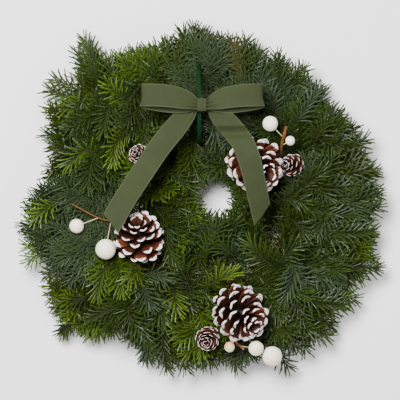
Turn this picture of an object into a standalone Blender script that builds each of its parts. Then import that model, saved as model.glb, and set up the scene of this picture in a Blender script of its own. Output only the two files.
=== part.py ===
"""Fir wreath lying on its back: a straw ring with fir sprays bound on by wire, three picks of
pine cones, larch cones and white berries, and a ribbon bow held by a green tie.

The front of the wreath faces +Z and its top, where the bow sits, is towards +Y. The sizes below
are in millimetres, and the meshes are made in metres.
"""

import math

import bpy
import numpy as np
from mathutils.bvhtree import BVHTree

# Driving sizes, in millimetres and degrees
RING_CENTRE = np.array([8.0, 0.0, 0.0])
RING_RADIUS = 100.0
RING_HALF_WIDTH = 12.0
RING_HEIGHT = 20.0
RING_CHAMFER = 5.0
RING_SIDES = 32
HOLE_CENTRE = np.array([17.0, 1.0, 0.0])
HOLE_RADIUS = 19.0

SLOTS = 12
SLOT_STEP = 360.0 / SLOTS
FIRST_WINDING = 79.6
WIRE_RADIUS = 0.6
WIRE_STANDOFF = 6.3
SLOT_CLEARANCE = 0.4
WIRE_LOW = WIRE_RADIUS + SLOT_CLEARANCE
WIRE_SIDE = RING_HALF_WIDTH + WIRE_STANDOFF
WIRE_FRONT = RING_HEIGHT + WIRE_STANDOFF

STEM_RADIUS = 2.0
TIP_RADIUS = 1.2
SIDE_STANDOFF = 2.25
CROWN_STANDOFF = 1.7
NEEDLE_LENGTH = 21.0
NEEDLE_OVERHANG = 15.0
NEEDLE_BAND = 2.6
NEEDLE_RADIUS = 1.6
WHORL_SPACING = 14.6
POINT_SPACING = 9.0
CORE_SPACING = 9.5
LOWEST_CORE = 6.0
LOWEST_NEEDLE = 0.7
SIDE_LOOP = 4.0
BOUND_POINTS = 4
TRIES = 6
TOUCHING = 0.1
SEAT_GAP = 0.35
FOOT_RADIUS = 1.2
WIRE_SPACING = 10.0

RIBBON_WIDTH = 25.0
RIBBON_THICKNESS = 0.6
BOW_CENTRE = np.array([2.0, 102.0, 80.0])
TIE_WIDTH = 4.4
TIE_THICKNESS = 1.6

# How far the needle tips reach from the ring's centre, every 15 degrees from +X towards +Y
REACH = (199, 195, 188, 184, 186, 187, 199, 194, 214, 227, 216, 190,
         209, 222, 220, 228, 190, 205, 197, 205, 219, 207, 206, 204)

UP = np.array([0.0, 0.0, 1.0])
GOLDEN_ANGLE = math.radians(137.508)


def clear_scene():
    for found in list(bpy.data.objects):
        bpy.data.objects.remove(found, do_unlink=True)


def material(name, colour, roughness, metallic=0.0):
    made = bpy.data.materials.new(name)
    made.use_nodes = True
    shader = made.node_tree.nodes["Principled BSDF"]
    shader.inputs["Base Color"].default_value = (*colour, 1.0)
    shader.inputs["Roughness"].default_value = roughness
    shader.inputs["Metallic"].default_value = metallic
    made.diffuse_color = (*colour, 1.0)
    return made


def mesh_object(name, points, faces, finish):
    """An object from points in millimetres."""
    mesh = bpy.data.meshes.new(name)
    mesh.from_pydata([tuple(0.001 * np.asarray(p)) for p in points], [], faces)
    mesh.validate()
    mesh.materials.append(finish)
    made = bpy.data.objects.new(name, mesh)
    bpy.context.scene.collection.objects.link(made)
    return made


def unit(vector):
    return vector / max(np.linalg.norm(vector), 1e-9)


def resampled(points, spacing):
    """The same line with its points evenly spaced along it, about this far apart."""
    points = np.asarray(points, float)
    steps = np.linalg.norm(np.diff(points, axis=0), axis=1)
    along = np.concatenate([[0.0], np.cumsum(steps)])
    count = max(2, int(round(along[-1] / spacing)) + 1)
    wanted = np.linspace(0.0, along[-1], count)
    return np.stack([np.interp(wanted, along, points[:, axis]) for axis in range(3)], axis=1)


def smooth_line(points, spacing):
    """A Catmull-Rom curve through the points, evenly resampled."""
    points = np.asarray(points, float)
    padded = np.vstack([2 * points[0] - points[1], points, 2 * points[-1] - points[-2]])
    fine = []
    for before, start, end, after in zip(padded, padded[1:], padded[2:], padded[3:]):
        for t in np.linspace(0.0, 1.0, 9)[:-1]:
            fine.append(0.5 * (2 * start + (end - before) * t
                               + (2 * before - 5 * start + 4 * end - after) * t ** 2
                               + (3 * start - before - 3 * end + after) * t ** 3))
    fine.append(points[-1])
    return resampled(fine, spacing)


def tangents_of(points, closed=False):
    if closed:
        return np.array([unit(d) for d in np.roll(points, -1, axis=0) - np.roll(points, 1, axis=0)])
    return np.array([unit(d) for d in np.gradient(points, axis=0)])


def tube(points, radii, sides, closed=False, up=UP):
    """Points and faces of a closed tube along a line."""
    points = np.asarray(points, float)
    radii = np.broadcast_to(radii, len(points))
    rings = []
    for place, tangent, radius in zip(points, tangents_of(points, closed), radii):
        across = unit(np.cross(tangent, up))
        above = np.cross(across, tangent)
        for k in range(sides):
            turn = 2 * math.pi * (k + 0.5) / sides
            rings.append(place + radius * (math.cos(turn) * across + math.sin(turn) * above))
    faces = []
    count = len(points)
    for i in range(count if closed else count - 1):
        here, there = i * sides, ((i + 1) % count) * sides
        for k in range(sides):
            n = (k + 1) % sides
            faces.append((here + k, there + k, there + n, here + n))
    if not closed:
        faces.append(tuple(range(sides)))
        faces.append(tuple(reversed(range((count - 1) * sides, count * sides))))
    return rings, faces


def on_ring(angle, radius, height):
    turn = math.radians(angle)
    return RING_CENTRE + np.array([radius * math.cos(turn), radius * math.sin(turn), height])


# Straw ring: an eight-sided section with a flat back, slotted where the wire and the tie pass behind
TIE_MIDDLE = np.array([0.0, 100.0, 0.0])
SLOT_OVERRUN = 4.0


def slot_box(middle, direction, half_length, half_width, depth):
    direction = unit(direction)
    side = np.cross(UP, direction)
    below = 1.0
    points = []
    for along in (-half_length, half_length):
        for across, height in ((-half_width, -below), (half_width, -below),
                               (half_width, depth), (-half_width, depth)):
            points.append(middle + along * direction + across * side + height * UP)
    faces = [(0, 1, 2, 3), (7, 6, 5, 4), (0, 4, 5, 1), (1, 5, 6, 2), (2, 6, 7, 3), (3, 7, 4, 0)]
    return points, [tuple(reversed(face)) for face in faces]


def ring_section():
    half, top, cut = RING_HALF_WIDTH, RING_HEIGHT, RING_CHAMFER
    return [(half - cut + 1, 0), (half, cut), (half, top - cut), (half - cut, top),
            (cut - half, top), (-half, top - cut), (-half, cut), (cut - half - 1, 0)]


def straw_ring(finish):
    section = ring_section()
    count = len(section)
    points, faces = [], []
    for i in range(RING_SIDES):
        for offset, height in section:
            points.append(on_ring(360.0 * i / RING_SIDES, RING_RADIUS + offset, height))
        for k in range(count):
            here, there = i * count, ((i + 1) % RING_SIDES) * count
            n = (k + 1) % count
            faces.append((here + k, there + k, there + n, here + n))
    ring = mesh_object("straw_ring", points, faces, finish)
    cutters, cutter_faces = [], []
    slots = []
    for k in range(SLOTS):
        angle = FIRST_WINDING + k * SLOT_STEP
        away = unit(on_ring(angle, 1.0, 0.0) - RING_CENTRE)
        room = WIRE_RADIUS + SLOT_CLEARANCE
        slots.append((on_ring(angle, RING_RADIUS, 0.0), away, room, 2 * room))
    slots.append((TIE_MIDDLE, np.array([0.0, 1.0, 0.0]), TIE_WIDTH / 2 + SLOT_CLEARANCE,
                  TIE_THICKNESS + 2 * SLOT_CLEARANCE))
    for middle, away, half_width, depth in slots:
        box, box_faces = slot_box(middle, away, RING_HALF_WIDTH + SLOT_OVERRUN, half_width, depth)
        start = len(cutters)
        cutters += box
        cutter_faces += [tuple(start + v for v in face) for face in box_faces]
    cutter = mesh_object("slot_cutter", cutters, cutter_faces, finish)
    cut = ring.modifiers.new("slots", "BOOLEAN")
    cut.operation = "DIFFERENCE"
    cut.object = cutter
    return bake(ring, [cutter])


def bake(target, spent):
    """The object with its modifiers applied, and the helpers they used removed."""
    bpy.context.view_layer.update()
    graph = bpy.context.evaluated_depsgraph_get()
    mesh = bpy.data.meshes.new_from_object(target.evaluated_get(graph))
    target.modifiers.clear()
    target.data = mesh
    for helper in spent:
        bpy.data.objects.remove(helper, do_unlink=True)
    return target


# Binding wire: straight across the back in its slot, and slanting to the next slot over the front
WIRE_TURN = ((-RING_HALF_WIDTH, WIRE_LOW, 0.0), (RING_HALF_WIDTH, WIRE_LOW, 0.0), (WIRE_SIDE, 9.5, 0.05),
             (10.0, WIRE_FRONT, 0.28), (-10.0, WIRE_FRONT, 0.72), (-WIRE_SIDE, 9.5, 0.95))


def wire_path():
    points = []
    for k in range(SLOTS):
        for offset, height, advance in WIRE_TURN:
            points.append(on_ring(FIRST_WINDING + (k + advance) * SLOT_STEP, RING_RADIUS + offset, height))
    return np.array(points)


def binding_wire(finish):
    points = wire_path()
    tangents = tangents_of(points, closed=True)
    rings, faces = [], []
    count, sides = len(points), 3
    for i, (place, tangent) in enumerate(zip(points, tangents)):
        k, step = divmod(i, len(WIRE_TURN))
        angle = FIRST_WINDING + (k + WIRE_TURN[step][2]) * SLOT_STEP
        middle = on_ring(angle, RING_RADIUS, RING_HEIGHT / 2)
        out = unit(place - middle)
        across = unit(np.cross(tangent, out))
        out = np.cross(across, tangent)
        for s in range(sides):
            spin = 2 * math.pi * s / sides - math.pi / 2
            rings.append(place + WIRE_RADIUS * (math.cos(spin) * across + math.sin(spin) * out))
        for s in range(sides):
            here, there, n = i * sides, ((i + 1) % count) * sides, (s + 1) % sides
            faces.append((here + s, here + n, there + n, there + s))
    return outward(mesh_object("binding_wire", rings, faces, finish))


def outward(made):
    """Turns a closed mesh right side out if its volume comes out negative."""
    mesh = made.data
    mesh.calc_loop_triangles()
    places = np.array([v.co for v in mesh.vertices])
    corners = places[np.array([t.vertices for t in mesh.loop_triangles])]
    if np.linalg.det(corners).sum() < 0:
        mesh.flip_normals()
    return made


# Green tie: a flat twine round the whole bundle at the top, through the back of the bow's knot
TIE_PATH = ((86, 1.2), (114, 1.2), (131, 7), (141, 20), (146, 36), (144, 51), (135, 62), (120, 69),
            (102, 70.2), (86, 69.5), (72, 64), (63, 53), (60, 40), (63, 24), (73, 9))
TIE_SIDES = 6


def green_tie(finish):
    points = [(TIE_MIDDLE[0], y, z) for y, z in TIE_PATH]
    rings, faces = tube(points, TIE_WIDTH / 2, TIE_SIDES, closed=True, up=np.array([1.0, 0.0, 0.0]))
    flattened = []
    for i, corner in enumerate(rings):
        place = np.array(points[i // TIE_SIDES], float)
        offset = corner - place
        side = np.array([offset[0], 0.0, 0.0])
        flattened.append(place + side + (offset - side) * TIE_THICKNESS / TIE_WIDTH)
    return outward(mesh_object("green_tie", flattened, faces, finish))


# Ribbon: every strip is built from its middle line, the direction across it and its half width
def strip(name, middles, acrosses, half_widths, finish, closed=False, spans=2, folds=None):
    """Folds is the depth of the gather's waves at each point of the line."""
    middles = np.asarray(middles, float)
    tangents = tangents_of(middles, closed)
    folds = np.zeros(len(middles)) if folds is None else folds
    count, row = len(middles), spans + 1
    front, back = [], []
    for place, tangent, across, half, fold in zip(middles, tangents, acrosses, half_widths, folds):
        across = unit(across - tangent * np.dot(across, tangent))
        normal = np.cross(tangent, across)
        for k in range(row):
            share = 2.0 * k / spans - 1.0
            wave = fold * (1 if k % 2 else -1)
            point = place + share * half * across + wave * normal
            front.append(point + RIBBON_THICKNESS / 2 * normal)
            back.append(point - RIBBON_THICKNESS / 2 * normal)
    points = front + back
    under = len(front)
    faces = []
    for i in range(count if closed else count - 1):
        here, there = i * row, ((i + 1) % count) * row
        for k in range(spans):
            faces.append((here + k, there + k, there + k + 1, here + k + 1))
            faces.append((under + here + k, under + here + k + 1, under + there + k + 1, under + there + k))
        faces.append((here, under + here, under + there, there))
        faces.append((here + spans, there + spans, under + there + spans, under + here + spans))
    if not closed:
        last = (count - 1) * row
        for k in range(spans):
            faces.append((k, k + 1, under + k + 1, under + k))
            faces.append((last + k, under + last + k, under + last + k + 1, last + k + 1))
    return outward(mesh_object(name, points, faces, finish))


# The loops as one closed band: distance right of the knot, height, how far the band's middle is above the
# knot's in the wreath's plane, half width and gather
LOOP_LINE = ((0, 2.2, 0.0, 5.8, 0.6), (-7, 2.8, 0.4, 6.3, 0.6), (-16, 6.0, 4.0, 10.0, 0.5),
             (-29, 9.5, 7.5, 11.8, 0.2), (-45, 11.0, 9.5, 12.4, 0.0), (-60, 9.5, 10.0, 12.5, 0.0),
             (-66, 5.5, 9.8, 12.5, 0.0), (-62, 1.5, 7.5, 12.5, 0.0), (-47, -0.2, 4.5, 12.4, 0.0),
             (-29, -0.5, 2.0, 11.8, 0.2), (-15, -0.8, 0.5, 9.2, 0.4), (-7, -1.2, 0.0, 6.3, 0.4),
             (0, -1.0, 0.0, 5.8, 0.4))


def bow_loops(finish):
    left = [np.array(row, float) for row in LOOP_LINE]
    right = [np.array([-row[0], *row[1:]]) for row in reversed(left[1:-1])]
    rows = left + right
    middles = [BOW_CENTRE + np.array([x, rise, z]) for x, z, rise, half, fold in rows]
    halves = [row[3] for row in rows]
    folds = [row[4] for row in rows]
    acrosses = [np.array([0.0, 1.0, 0.0])] * len(rows)
    return strip("bow_loops", middles, acrosses, halves, finish, closed=True, spans=2, folds=folds)


# Tails, from inside the knot to the slanted cut: X, Y, height and half width
LEFT_TAIL = ((-1.5, 102.6, 75.4, 5.2), (-6.5, 101.6, 75.4, 5.8), (-15.0, 91.5, 75.8, 10.0),
             (-27.0, 77.0, 79.0, 12.2), (-44.0, 56.0, 83.5, 12.5), (-63.0, 28.0, 85.0, 12.5),
             (-82.0, -1.0, 87.5, 12.5), (-98.0, -28.5, 90.5, 12.5))
RIGHT_TAIL = ((5.5, 102.6, 75.4, 5.2), (10.5, 101.6, 75.2, 5.8), (19.5, 90.5, 75.6, 10.0),
              (28.0, 82.0, 77.5, 12.0), (38.0, 71.0, 84.0, 12.5), (47.0, 58.0, 90.5, 12.5),
              (53.5, 41.0, 92.5, 12.5), (59.0, 19.0, 91.5, 12.5), (63.5, -2.0, 88.5, 12.5),
              (67.5, -19.0, 83.5, 12.5))
TAIL_SPACING = 7.0


def bow_tail(name, line, slant, finish):
    """Slant is how much further the tail's +X edge runs than its middle, at the cut."""
    line = np.array(line, float)
    fine = smooth_line(line[:, :3], TAIL_SPACING)
    measured = np.concatenate([[0.0], np.cumsum(np.linalg.norm(np.diff(line[:, :3], axis=0), axis=1))])
    share = measured / measured[-1]
    halves = np.interp(np.linspace(0, 1, len(fine)), share, line[:, 3])
    flat = fine * (1, 1, 0)
    acrosses = [unit(np.cross(tangent, UP)) for tangent in tangents_of(flat)]
    acrosses = [across if across[0] > 0 else -across for across in acrosses]
    made = strip(name, fine, acrosses, halves, finish)
    end, tangent, across = fine[-1], tangents_of(fine)[-1], acrosses[-1]
    for vertex in made.data.vertices:
        place = 1000 * np.array(vertex.co)
        if abs(np.dot(place - end, tangent)) < 1.0 and np.linalg.norm(place - end) < 2 * RIBBON_WIDTH:
            side = np.dot(place - end, across) / (RIBBON_WIDTH / 2)
            vertex.co = 0.001 * (place + side * slant * tangent)
    return made


# Knot: a short wrap round the gathered middle, with the tie inside it
def bow_knot(finish):
    half_height, front, back = 7.7, 4.6, -8.4
    corner = 1.5
    outline = [(-half_height, back + corner), (-half_height, front - corner), (corner - half_height, front),
               (half_height - corner, front), (half_height, front - corner), (half_height, back + corner),
               (half_height - corner, back), (corner - half_height, back)]
    middles = [BOW_CENTRE + np.array([0.0, y, z]) for y, z in outline]
    acrosses = [np.array([1.0, 0.0, 0.0])] * len(middles)
    return strip("bow_knot", middles, acrosses, [5.5] * len(middles), finish, closed=True, spans=2)


# Cones: scales raised from a core whose faces follow the golden angle, where each point's neighbours are
# these many points further on
LEFT_STEP, RIGHT_STEP, ROUND_STEP = 5, 8, 13


def cone(name, centre, axis, length, girth, scales, finish, spin=0.0, lip=1.0, tight=0.0):
    """Length is the core's, girth the widest radius at the scale tips, tight how closed the cone is."""
    axis = unit(np.array(axis, float))
    side = unit(np.cross(axis, (0.3, 0.9, 0.1)))
    front = np.cross(axis, side)
    base = np.asarray(centre, float) - axis * length * 0.42

    def place(angle, radius, height):
        return base + axis * height + radius * (math.cos(angle) * side + math.sin(angle) * front)

    def core_radius(share):
        return girth * (0.10 + 0.16 * math.sin(math.pi * min(1.0, 0.12 + 0.88 * share)))

    total = scales + ROUND_STEP
    points = []
    for n in range(total):
        share = n / (total - 1)
        points.append(place(n * GOLDEN_ANGLE + spin, core_radius(share), length * share))
    faces = []
    for n in range(scales):
        share = (n + 6.5) / (total - 1)
        corners = (n, n + LEFT_STEP, n + ROUND_STEP, n + RIGHT_STEP)
        middle = sum(points[c] for c in corners) / 4
        out = middle - (base + axis * np.dot(middle - base, axis))
        out = unit(out)
        rise = math.radians(-14 + 84 * share + tight)
        direction = math.cos(rise) * out + math.sin(rise) * axis
        swell = math.sin(math.pi * (0.16 + 0.74 * share))
        reach = max(0.20 * girth, (girth - core_radius(share)) * swell) * (1 - 0.18 * tight / 30)
        tip = middle + direction * reach
        around = np.cross(axis, out)
        above = unit(np.cross(direction, around))
        above = above if np.dot(above, axis) > 0 else -above
        half_width = 0.225 * girth * (0.35 + 0.65 * swell)
        half_thick = 0.085 * girth * (0.45 + 0.55 * swell)
        first = len(points)
        lower = tip - half_thick * above
        upper = tip + half_thick * above
        points += [lower, tip - half_width * around, upper + lip * direction, tip + half_width * around]
        for a in range(4):
            b = (a + 1) % 4
            faces.append((corners[a], corners[b], first + b))
            faces.append((corners[a], first + b, first + a))
        faces.append((first, first + 1, first + 2))
        faces.append((first, first + 2, first + 3))
    for first, middle_height in ((0, -0.02), (scales, 1.05)):
        order = [first + (LEFT_STEP * k) % ROUND_STEP for k in range(ROUND_STEP)]
        hub = len(points)
        points.append(base + axis * length * middle_height)
        for a, b in zip(order, order[1:] + order[:1]):
            faces.append((a, hub, b) if middle_height < 0 else (a, b, hub))
    return outward(mesh_object(name, points, faces, finish))


# Berries: foam balls on wires
def ball(name, centre, radius, finish, segments=9, rings=5):
    centre = np.asarray(centre, float)
    points = [centre + radius * UP]
    for i in range(1, rings):
        tilt = math.pi * i / rings
        for k in range(segments):
            turn = 2 * math.pi * k / segments
            points.append(centre + radius * np.array([math.sin(tilt) * math.cos(turn),
                                                      math.sin(tilt) * math.sin(turn), math.cos(tilt)]))
    points.append(centre - radius * UP)
    faces = []
    last = len(points) - 1
    for k in range(segments):
        n = (k + 1) % segments
        faces.append((0, 1 + k, 1 + n))
        faces.append((last, last - segments + n, last - segments + k))
        for i in range(rings - 2):
            a, b = 1 + i * segments, 1 + (i + 1) * segments
            faces.append((a + k, b + k, b + n, a + n))
    return outward(mesh_object(name, points, faces, finish))


# Picks: a foot lying on the ring under the foliage, a brown twig, and wires to what the pick carries
def stalk(name):
    """The last stretch of a wire, which comes up along the cone's axis and stops just short of its base."""
    centre, axis, length, girth = CONES[name][:4]
    axis = unit(np.array(axis, float))
    seat = np.array(centre, float) - axis * (0.44 * length + SEAT_GAP)
    return [seat - 0.42 * girth * axis, seat]


def wire_to(start, centre, radius, rise=4.0):
    """A bowed wire that stops just short of a berry."""
    start, centre = np.asarray(start, float), np.asarray(centre, float)
    end = centre + (radius + SEAT_GAP) * unit(start - centre)
    middle = (start + end) / 2 + rise * UP
    return smooth_line([start, middle, end], WIRE_SPACING)


def pick(name, branches, finish):
    """Branches are (line, root radius, tip radius), joined where they start inside one another."""
    pieces = []
    for line, root, tip in branches:
        rings, faces = tube(line, np.linspace(root, tip, len(line)), 4, up=np.array([0.31, 0.17, 0.94]))
        pieces.append(outward(mesh_object(name + "_branch", rings, faces, finish)))
    trunk = pieces[0]
    trunk.name = name
    for branch in pieces[1:]:
        joint = trunk.modifiers.new("union", "BOOLEAN")
        joint.operation = "UNION"
        joint.use_self = True
        joint.object = branch
    return bake(trunk, pieces[1:])


def foot(angle, *onward):
    """A foot along the ring's crown that then rises through the places given."""
    inside = RING_RADIUS - 4.5
    height = RING_HEIGHT + FOOT_RADIUS + 0.35
    start = [on_ring(angle - 5.0, inside, height), on_ring(angle - 1.0, inside, height),
             on_ring(angle + 2.0, inside, height + 1.0)]
    return smooth_line(start + [np.array(place, float) for place in onward], WIRE_SPACING)


# Sprays: three rows of shoots whose middle lines start along the ring and bend away from it
def polar(centre, angle, radius, height):
    turn = math.radians(angle)
    return np.array([centre[0] + radius * math.cos(turn), centre[1] + radius * math.sin(turn), height])


def reach_at(angle):
    step = 360.0 / len(REACH)
    wrapped = REACH + REACH[:1]
    return float(np.interp(angle % 360.0, np.arange(len(wrapped)) * step, wrapped))


def side_shoot(main, share, turn, lift, length):
    """A straight side shoot, turned away from the main one by an angle in the wreath's plane."""
    index = max(1, int(round(share * (len(main) - 1))))
    ahead = unit((main[min(index + 1, len(main) - 1)] - main[index - 1]) * (1, 1, 0))
    angle = math.radians(turn)
    heading = np.array([ahead[0] * math.cos(angle) - ahead[1] * math.sin(angle),
                        ahead[0] * math.sin(angle) + ahead[1] * math.cos(angle), lift])
    end = main[index] + length * unit(heading)
    return index, resampled([main[index], end], POINT_SPACING)


def keep_within_reach(line, margin):
    """Shortens a shoot whose tip would stand out past the wreath's outline."""
    place = line[-1] - RING_CENTRE
    limit = reach_at(math.degrees(math.atan2(place[1], place[0]))) - NEEDLE_OVERHANG - margin
    over = np.linalg.norm(place[:2]) - limit
    if over <= 0:
        return line
    length = np.linalg.norm(line[-1] - line[0])
    share = max(0.45, 1 - over / length)
    return resampled([line[0], line[0] + share * (line[-1] - line[0])], POINT_SPACING)


def outer_spray(angle, draw):
    track = [on_ring(angle + a, RING_RADIUS + RING_HALF_WIDTH + SIDE_STANDOFF, 9.5) for a in (-6, 0, 6, 9)]
    tip_angle = angle + 21 + draw.uniform(-3, 3)
    reach = reach_at(tip_angle) - NEEDLE_OVERHANG
    bend = [on_ring(angle + 14, 126, 13), on_ring(angle + 18, (126 + reach) / 2, 20 + draw.uniform(-4, 4))]
    main = smooth_line(track + bend + [on_ring(tip_angle, reach, draw.uniform(10, 20))], POINT_SPACING)
    sides = []
    for share, turn, length in ((0.5, 37, 66), (0.58, -37, 58)):
        index, line = side_shoot(main, share, turn + draw.uniform(-4, 4), draw.uniform(0.05, 0.3), length)
        sides.append((index, keep_within_reach(line, 4.0)))
    return main, sides


def crown_spray(angle, draw):
    track = [on_ring(angle + a, RING_RADIUS + 3, RING_HEIGHT + CROWN_STANDOFF) for a in (7, 13, 19, 22)]
    bend = [on_ring(angle + 29, 104, 32), on_ring(angle + 41, 116 + draw.uniform(-4, 4), 44)]
    tip = on_ring(angle + 54 + draw.uniform(-4, 4), 140 + draw.uniform(-8, 8), 47 + draw.uniform(-4, 4))
    main = smooth_line(track + bend + [tip], POINT_SPACING)
    sides = []
    for share, turn, length in ((0.5, -52, 62), (0.62, 46, 46)):
        sides.append(side_shoot(main, share, turn + draw.uniform(-6, 6), draw.uniform(0.0, 0.2), length))
    return main, sides


def inner_spray(angle, draw):
    inside = RING_RADIUS - RING_HALF_WIDTH - SIDE_STANDOFF - 0.2
    track = [on_ring(angle + a, inside, 10.5) for a in (-10, -3, 3, 6)]
    bend = [on_ring(angle + 14, 74, 22)]
    toward = on_ring(angle + 34 + draw.uniform(-4, 4), 50, 0) - HOLE_CENTRE
    heading = math.degrees(math.atan2(toward[1], toward[0]))
    tip = polar(HOLE_CENTRE, heading, HOLE_RADIUS + NEEDLE_OVERHANG, 32 + draw.uniform(-8, 8))
    main = smooth_line(track + bend + [tip], POINT_SPACING)
    sides = []
    for share, turn, lift, length in ((0.5, -38, 0.9, 40), (0.66, 34, 0.2, 30)):
        sides.append(side_shoot(main, share, turn + draw.uniform(-6, 6), lift, length))
    return main, sides


def lay_out_sprays(draw):
    """Every spray as (name, lines, where each side shoot starts, how many root points are bound)."""
    sprays = []
    for row, layer in (("outer", outer_spray), ("crown", crown_spray), ("inner", inner_spray)):
        for k in range(SLOTS):
            main, sides = layer(FIRST_WINDING + k * SLOT_STEP, draw)
            lines = [main] + [line for index, line in sides]
            sprays.append((f"{row}_spray_{k + 1:02d}", lines, [index for index, line in sides], BOUND_POINTS))
    return sprays


def spread_apart(sprays, obstacles, rounds=40):
    """Eases the shoots' middle lines apart, and clear of everything else, without stretching them."""
    lines, owner, bound, starts = [], [], [], []
    for number, (name, own, side_starts, root) in enumerate(sprays):
        first = len(lines)
        for place, line in enumerate(own):
            lines.append(line.copy())
            owner.append(number)
            bound.append(root if place == 0 else 1)
            starts.append(None if place == 0 else (first, side_starts[place - 1]))
    lengths = [np.linalg.norm(line[1] - line[0]) for line in lines]
    label = np.concatenate([[i] * len(line) for i, line in enumerate(lines)])
    group = np.array(owner)[label]
    rank = np.concatenate([np.arange(len(line)) for line in lines])
    free = np.clip((rank - np.array(bound)[label] + 1) / 3.0, 0.0, 1.0)
    centres = np.array([centre for centre, radius in obstacles])
    radii = np.array([radius for centre, radius in obstacles])
    edges = np.cumsum([0] + [len(line) for line in lines])
    for step in range(rounds):
        points = np.concatenate(lines)
        gap = points[:, None, :] - points[None, :, :]
        distance = np.linalg.norm(gap, axis=2)
        near = distance < CORE_SPACING
        near &= label[:, None] != label[None, :]
        near &= ~((group[:, None] == group[None, :]) & (np.minimum(rank[:, None], rank[None, :]) < 3))
        strength = np.where(near, (CORE_SPACING - distance) / np.maximum(distance, 0.5), 0.0)
        push = 0.5 * (gap * strength[:, :, None]).sum(axis=1)
        away = points[:, None, :] - centres[None, :, :]
        reach = np.linalg.norm(away, axis=2)
        strength = np.where(reach < radii, (radii - reach) / np.maximum(reach, 0.5), 0.0)
        push += (away * strength[:, :, None]).sum(axis=1)
        push[:, 2] += np.maximum(0.0, LOWEST_CORE - points[:, 2])
        push += ring_push(points)
        push += hole_push(points)
        size = np.linalg.norm(push, axis=1, keepdims=True)
        points += push * np.minimum(1.0, 4.0 / np.maximum(size, 1e-6)) * free[:, None]
        for i, line in enumerate(lines):
            fresh = points[edges[i]:edges[i + 1]]
            if starts[i] is not None:
                fresh[0] = lines[starts[i][0]][starts[i][1]]
            easing = 0.3 * free[edges[i] + 1:edges[i + 1] - 1, None]
            fresh[1:-1] += easing * (0.5 * (fresh[:-2] + fresh[2:]) - fresh[1:-1])
            for n in range(max(1, bound[i]), len(fresh)):
                fresh[n] = fresh[n - 1] + lengths[i] * unit(fresh[n] - fresh[n - 1])
            lines[i] = fresh
    result, cursor = [], 0
    for name, own, side_starts, root in sprays:
        result.append((name, lines[cursor:cursor + len(own)], side_starts, root))
        cursor += len(own)
    return result


def ring_push(points):
    """Keeps lines out of the straw ring and of the wire round it."""
    flat = (points - RING_CENTRE) * (1, 1, 0)
    outward_way = flat / np.maximum(np.linalg.norm(flat, axis=1, keepdims=True), 1e-6)
    nearest = RING_CENTRE + RING_RADIUS * outward_way + RING_HEIGHT / 2 * UP
    away = points - nearest
    distance = np.linalg.norm(away, axis=1, keepdims=True)
    clear = 0.5 * RING_HEIGHT + 5.0
    return away / np.maximum(distance, 1e-6) * np.maximum(0.0, clear - distance)


def hole_push(points):
    flat = (points - HOLE_CENTRE) * (1, 1, 0)
    distance = np.linalg.norm(flat, axis=1, keepdims=True)
    clear = HOLE_RADIUS + 0.6 * NEEDLE_OVERHANG
    return flat / np.maximum(distance, 1e-6) * np.maximum(0.0, clear - distance)


# Needles: spikes raised from the faces of a three-sided core, only where they clear everything else
class Clearance:
    """What a new needle must stay clear of: other needles, the shoots' cores and the other pieces."""

    def __init__(self, sprays, pieces):
        self.roots, self.tips, self.owners = [], [], []
        starts, ends, owners = [], [], []
        for number, (name, lines, side_starts, bound) in enumerate(sprays):
            for place, line in enumerate(lines):
                for a, b in zip(line[:-1], line[1:]):
                    starts.append(a)
                    ends.append(b)
                    owners.append((number, place))
        self.core_starts, self.core_ends = np.array(starts), np.array(ends)
        self.core_owners = np.array(owners)
        self.trees = []
        for piece in pieces:
            mesh = piece.data
            corners = [1000 * v.co for v in mesh.vertices]
            self.trees.append(BVHTree.FromPolygons(corners, [p.vertices for p in mesh.polygons]))

    def allows(self, root, tip, owner):
        shares = np.array([0.0, 0.12, 0.25, 0.45, 0.65, 0.85, 1.0])
        samples = root + shares[:, None] * (tip - root)
        thick = NEEDLE_RADIUS * (1 - shares)
        if samples[:, 2].min() < LOWEST_NEEDLE:
            return False
        if np.linalg.norm((samples - HOLE_CENTRE)[:, :2], axis=1).min() < HOLE_RADIUS:
            return False
        middle = (root + tip) / 2
        near = np.linalg.norm((self.core_starts + self.core_ends) / 2 - middle, axis=1) < NEEDLE_LENGTH
        if near.any():
            own = (self.core_owners[near] == owner).all(axis=1)
            distance = segment_distance(samples, self.core_starts[near], self.core_ends[near])[0]
            needed = STEM_RADIUS + 0.6 + thick[:, None] + np.zeros_like(distance)
            needed[:4, own] = 0.0
            if (distance < needed).any():
                return False
        if self.roots:
            roots, tips = np.array(self.roots), np.array(self.tips)
            near = np.linalg.norm((roots + tips) / 2 - middle, axis=1) < NEEDLE_LENGTH
            if near.any():
                distance, along = segment_distance(samples, roots[near], tips[near])
                needed = thick[:, None] + NEEDLE_RADIUS * (1 - along) + 0.3
                same = (np.array(self.owners)[near] == owner).all(axis=1)
                needed[:2, same] = 0.0
                if (distance < needed).any():
                    return False
        for tree in self.trees:
            for sample, radius in zip(samples, thick):
                if tree.find_nearest(sample, radius + 0.45)[0] is not None:
                    return False
            way = tip - root
            if tree.ray_cast(root, unit(way), float(np.linalg.norm(way)) + 0.4)[0] is not None:
                return False
        return True

    def add(self, root, tip, owner):
        self.roots.append(root)
        self.tips.append(tip)
        self.owners.append(owner)


def segment_distance(samples, starts, ends):
    """Distance from each sample to each segment, and how far along the segment it is nearest."""
    way = ends - starts
    length = np.maximum((way ** 2).sum(axis=1), 1e-9)
    offset = samples[:, None, :] - starts[None, :, :]
    along = np.clip((offset * way[None]).sum(axis=2) / length, 0.0, 1.0)
    nearest = starts[None] + along[:, :, None] * way[None]
    return np.linalg.norm(samples[:, None, :] - nearest, axis=2), along


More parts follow.
